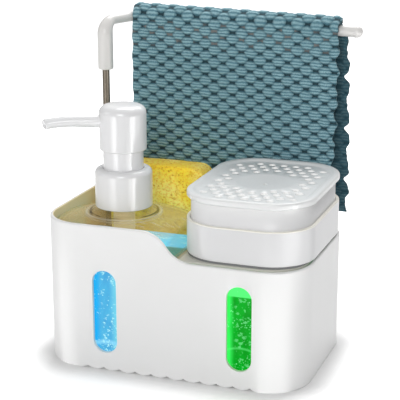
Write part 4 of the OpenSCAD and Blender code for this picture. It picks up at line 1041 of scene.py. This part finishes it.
# Stage, light and camera
def make_stage():
    """Pale floor that shows white to the camera except where the object shades it, and a white world. The
    floor glows more with the distance from the object, so that it runs into the white behind, and a contact
    shadow is painted into the glow by the distance from the case's footprint, with the floor's colour painted
    darker next to the case's left and right sides. Some places glow brighter in reflections only: the bands
    on the round walls."""
    mesh = bpy.data.meshes.new("floor")
    mesh.from_pydata([(-3, -3, 0), (3, -3, 0), (3, 3, 0), (-3, 3, 0)], [], [(0, 1, 2, 3)])
    f = Finish("floor_white", Roughness=0.9)
    x, y, _ = f.axes(f.place())
    far = (x / 1.2).hypotenuse(y)
    corner = [half - CASE_R for half in CASE_HALF]
    gap = x.beyond(corner[0]).hypotenuse(y.beyond(corner[1])) - CASE_R
    # Painted shadow: the floor's colour is darker next to the case's left and right sides.
    painted_side_shadow = gap.ramp(16.0, 0.0) * abs(x).ramp(70.0, 92.0) * y.near(40.0, 60.0)
    # Painted contact shadow: the glow is dark near the case's footprint.
    shadow = f.mix(gap.ramp(0.0, 24.0), "#101010", "#BCBCBC")
    glow = f.mix(far.ramp(110.0, 240.0), shadow, "#E0E0E0")

    def band(centre, sight, bearings, near, far_off):
        """Share of glow where light that leaves a round wall about the centre, seen from the bearing sight,
        comes down. It rises and falls over the four bearings and over the distances near and far_off, with
        the bearing moved on to bearing + (bearing - sight) (r / away)^2."""
        dx, dy = x - centre[0], y - centre[1]
        away = dx.hypotenuse(dy)
        bearing = dy.math("ARCTAN2", dx) * (360 / TAU)
        bearing = bearing + (bearing - sight) * (CASE_R / away) ** 2.0
        rise, full, level, end = bearings
        across = bearing.ramp(rise, full) * bearing.ramp(end, level)
        return across * away.ramp(*near) * away.ramp(*far_off[::-1])

    left, right = (-corner[0], -corner[1]), (corner[0], -corner[1])
    strips = sum(strength * band(*place) for strength, *place in (
        (4.4, right, -73, (-117, -88, -40, -4), (0, 1), (230, 290)),
        (4.0, right, -73, (-64, -50, -24, 8), (270, 300), (460, 540)),
        (2.7, left, -65, (-105, -137, -157, -188), (0, 1), (290, 350)),
        (6.4, PUMP_XY, -70, (-33, -31, -17, 3), (200, 720), (950, 1000)),
        (6.4, PUMP_XY, -70, (-134, -107, -99.5, -97.5), (200, 720), (950, 1000)),
        (2.6, PUMP_XY, -70, (-14, -10, 16, 30), (330, 345), (950, 1000))))
    camera, glossy, through = (
        f.node("LightPath", out=k) for k in ("Is Camera Ray", "Is Glossy Ray", "Is Transmission Ray"))
    seen = camera.max(glossy * (0.3 + strips)).max(through) * 0.95
    white = far.ramp(200.0, 600.0).max(glossy * strips)
    f.set(Base_Color=f.mix(painted_side_shadow, "#F2F2F2", "#DFDFDF"), Emission_Color=f.mix(white, glow, "#FFFFFF"),
          Emission_Strength=seen)
    mesh.materials.append(f.material)
    floor = added("floor", mesh)
    world = bpy.data.worlds.new("studio")
    bpy.context.scene.world = world
    world.use_nodes = True
    tree = world.node_tree
    back = tree.nodes["Background"]
    back.inputs["Color"].default_value = (1, 1, 1, 1)
    path = tree.nodes.new("ShaderNodeLightPath")
    pick = tree.nodes.new("ShaderNodeMapRange")
    pick.inputs["To Min"].default_value, pick.inputs["To Max"].default_value = 0.35, 1.0
    tree.links.new(path.outputs["Is Camera Ray"], pick.inputs["Value"])
    tree.links.new(pick.outputs["Result"], back.inputs["Strength"])


def lamp(name, place, aim, size, power):
    data = bpy.data.lights.new(name, "AREA")
    data.shape, data.size, data.size_y, data.energy = "RECTANGLE", *size, power
    obj = added(name, data)
    obj.location = place
    obj.rotation_euler = (Vector(aim) - Vector(place)).to_track_quat("-Z", "Y").to_euler()


def make_camera():
    """Camera fitted to the photograph; the rows are its right, its up and its back."""
    data = bpy.data.cameras.new("camera")
    data.sensor_width, data.lens, data.clip_start, data.clip_end = 36, 112.19, 0.05, 20
    camera = bpy.context.scene.camera = added("camera", data)
    turn = Matrix(((0.940, 0.341, -0.002), (-0.094, 0.258, 0.962), (0.329, -0.904, 0.274))).transposed()
    camera.matrix_world = Matrix.Translation((0.2692, -0.7316, 0.3235)) @ turn.to_4x4()


make_stage()
lamp("key_front", (0.22, -1.2, 0.55), (0, 0, 0.1), (0.6, 0.5), 5.4)
lamp("fill_left", (-0.95, -0.5, 0.5), (0, 0, 0.1), (0.5, 0.5), 1.0)
lamp("over_back", (0.0, 0.6, 1.0), (0, -0.05, 0.0), (0.8, 0.8), 10.2)
make_camera()
bpy.context.scene.view_settings.view_transform = "Standard"

bpy.context.view_layer.update()
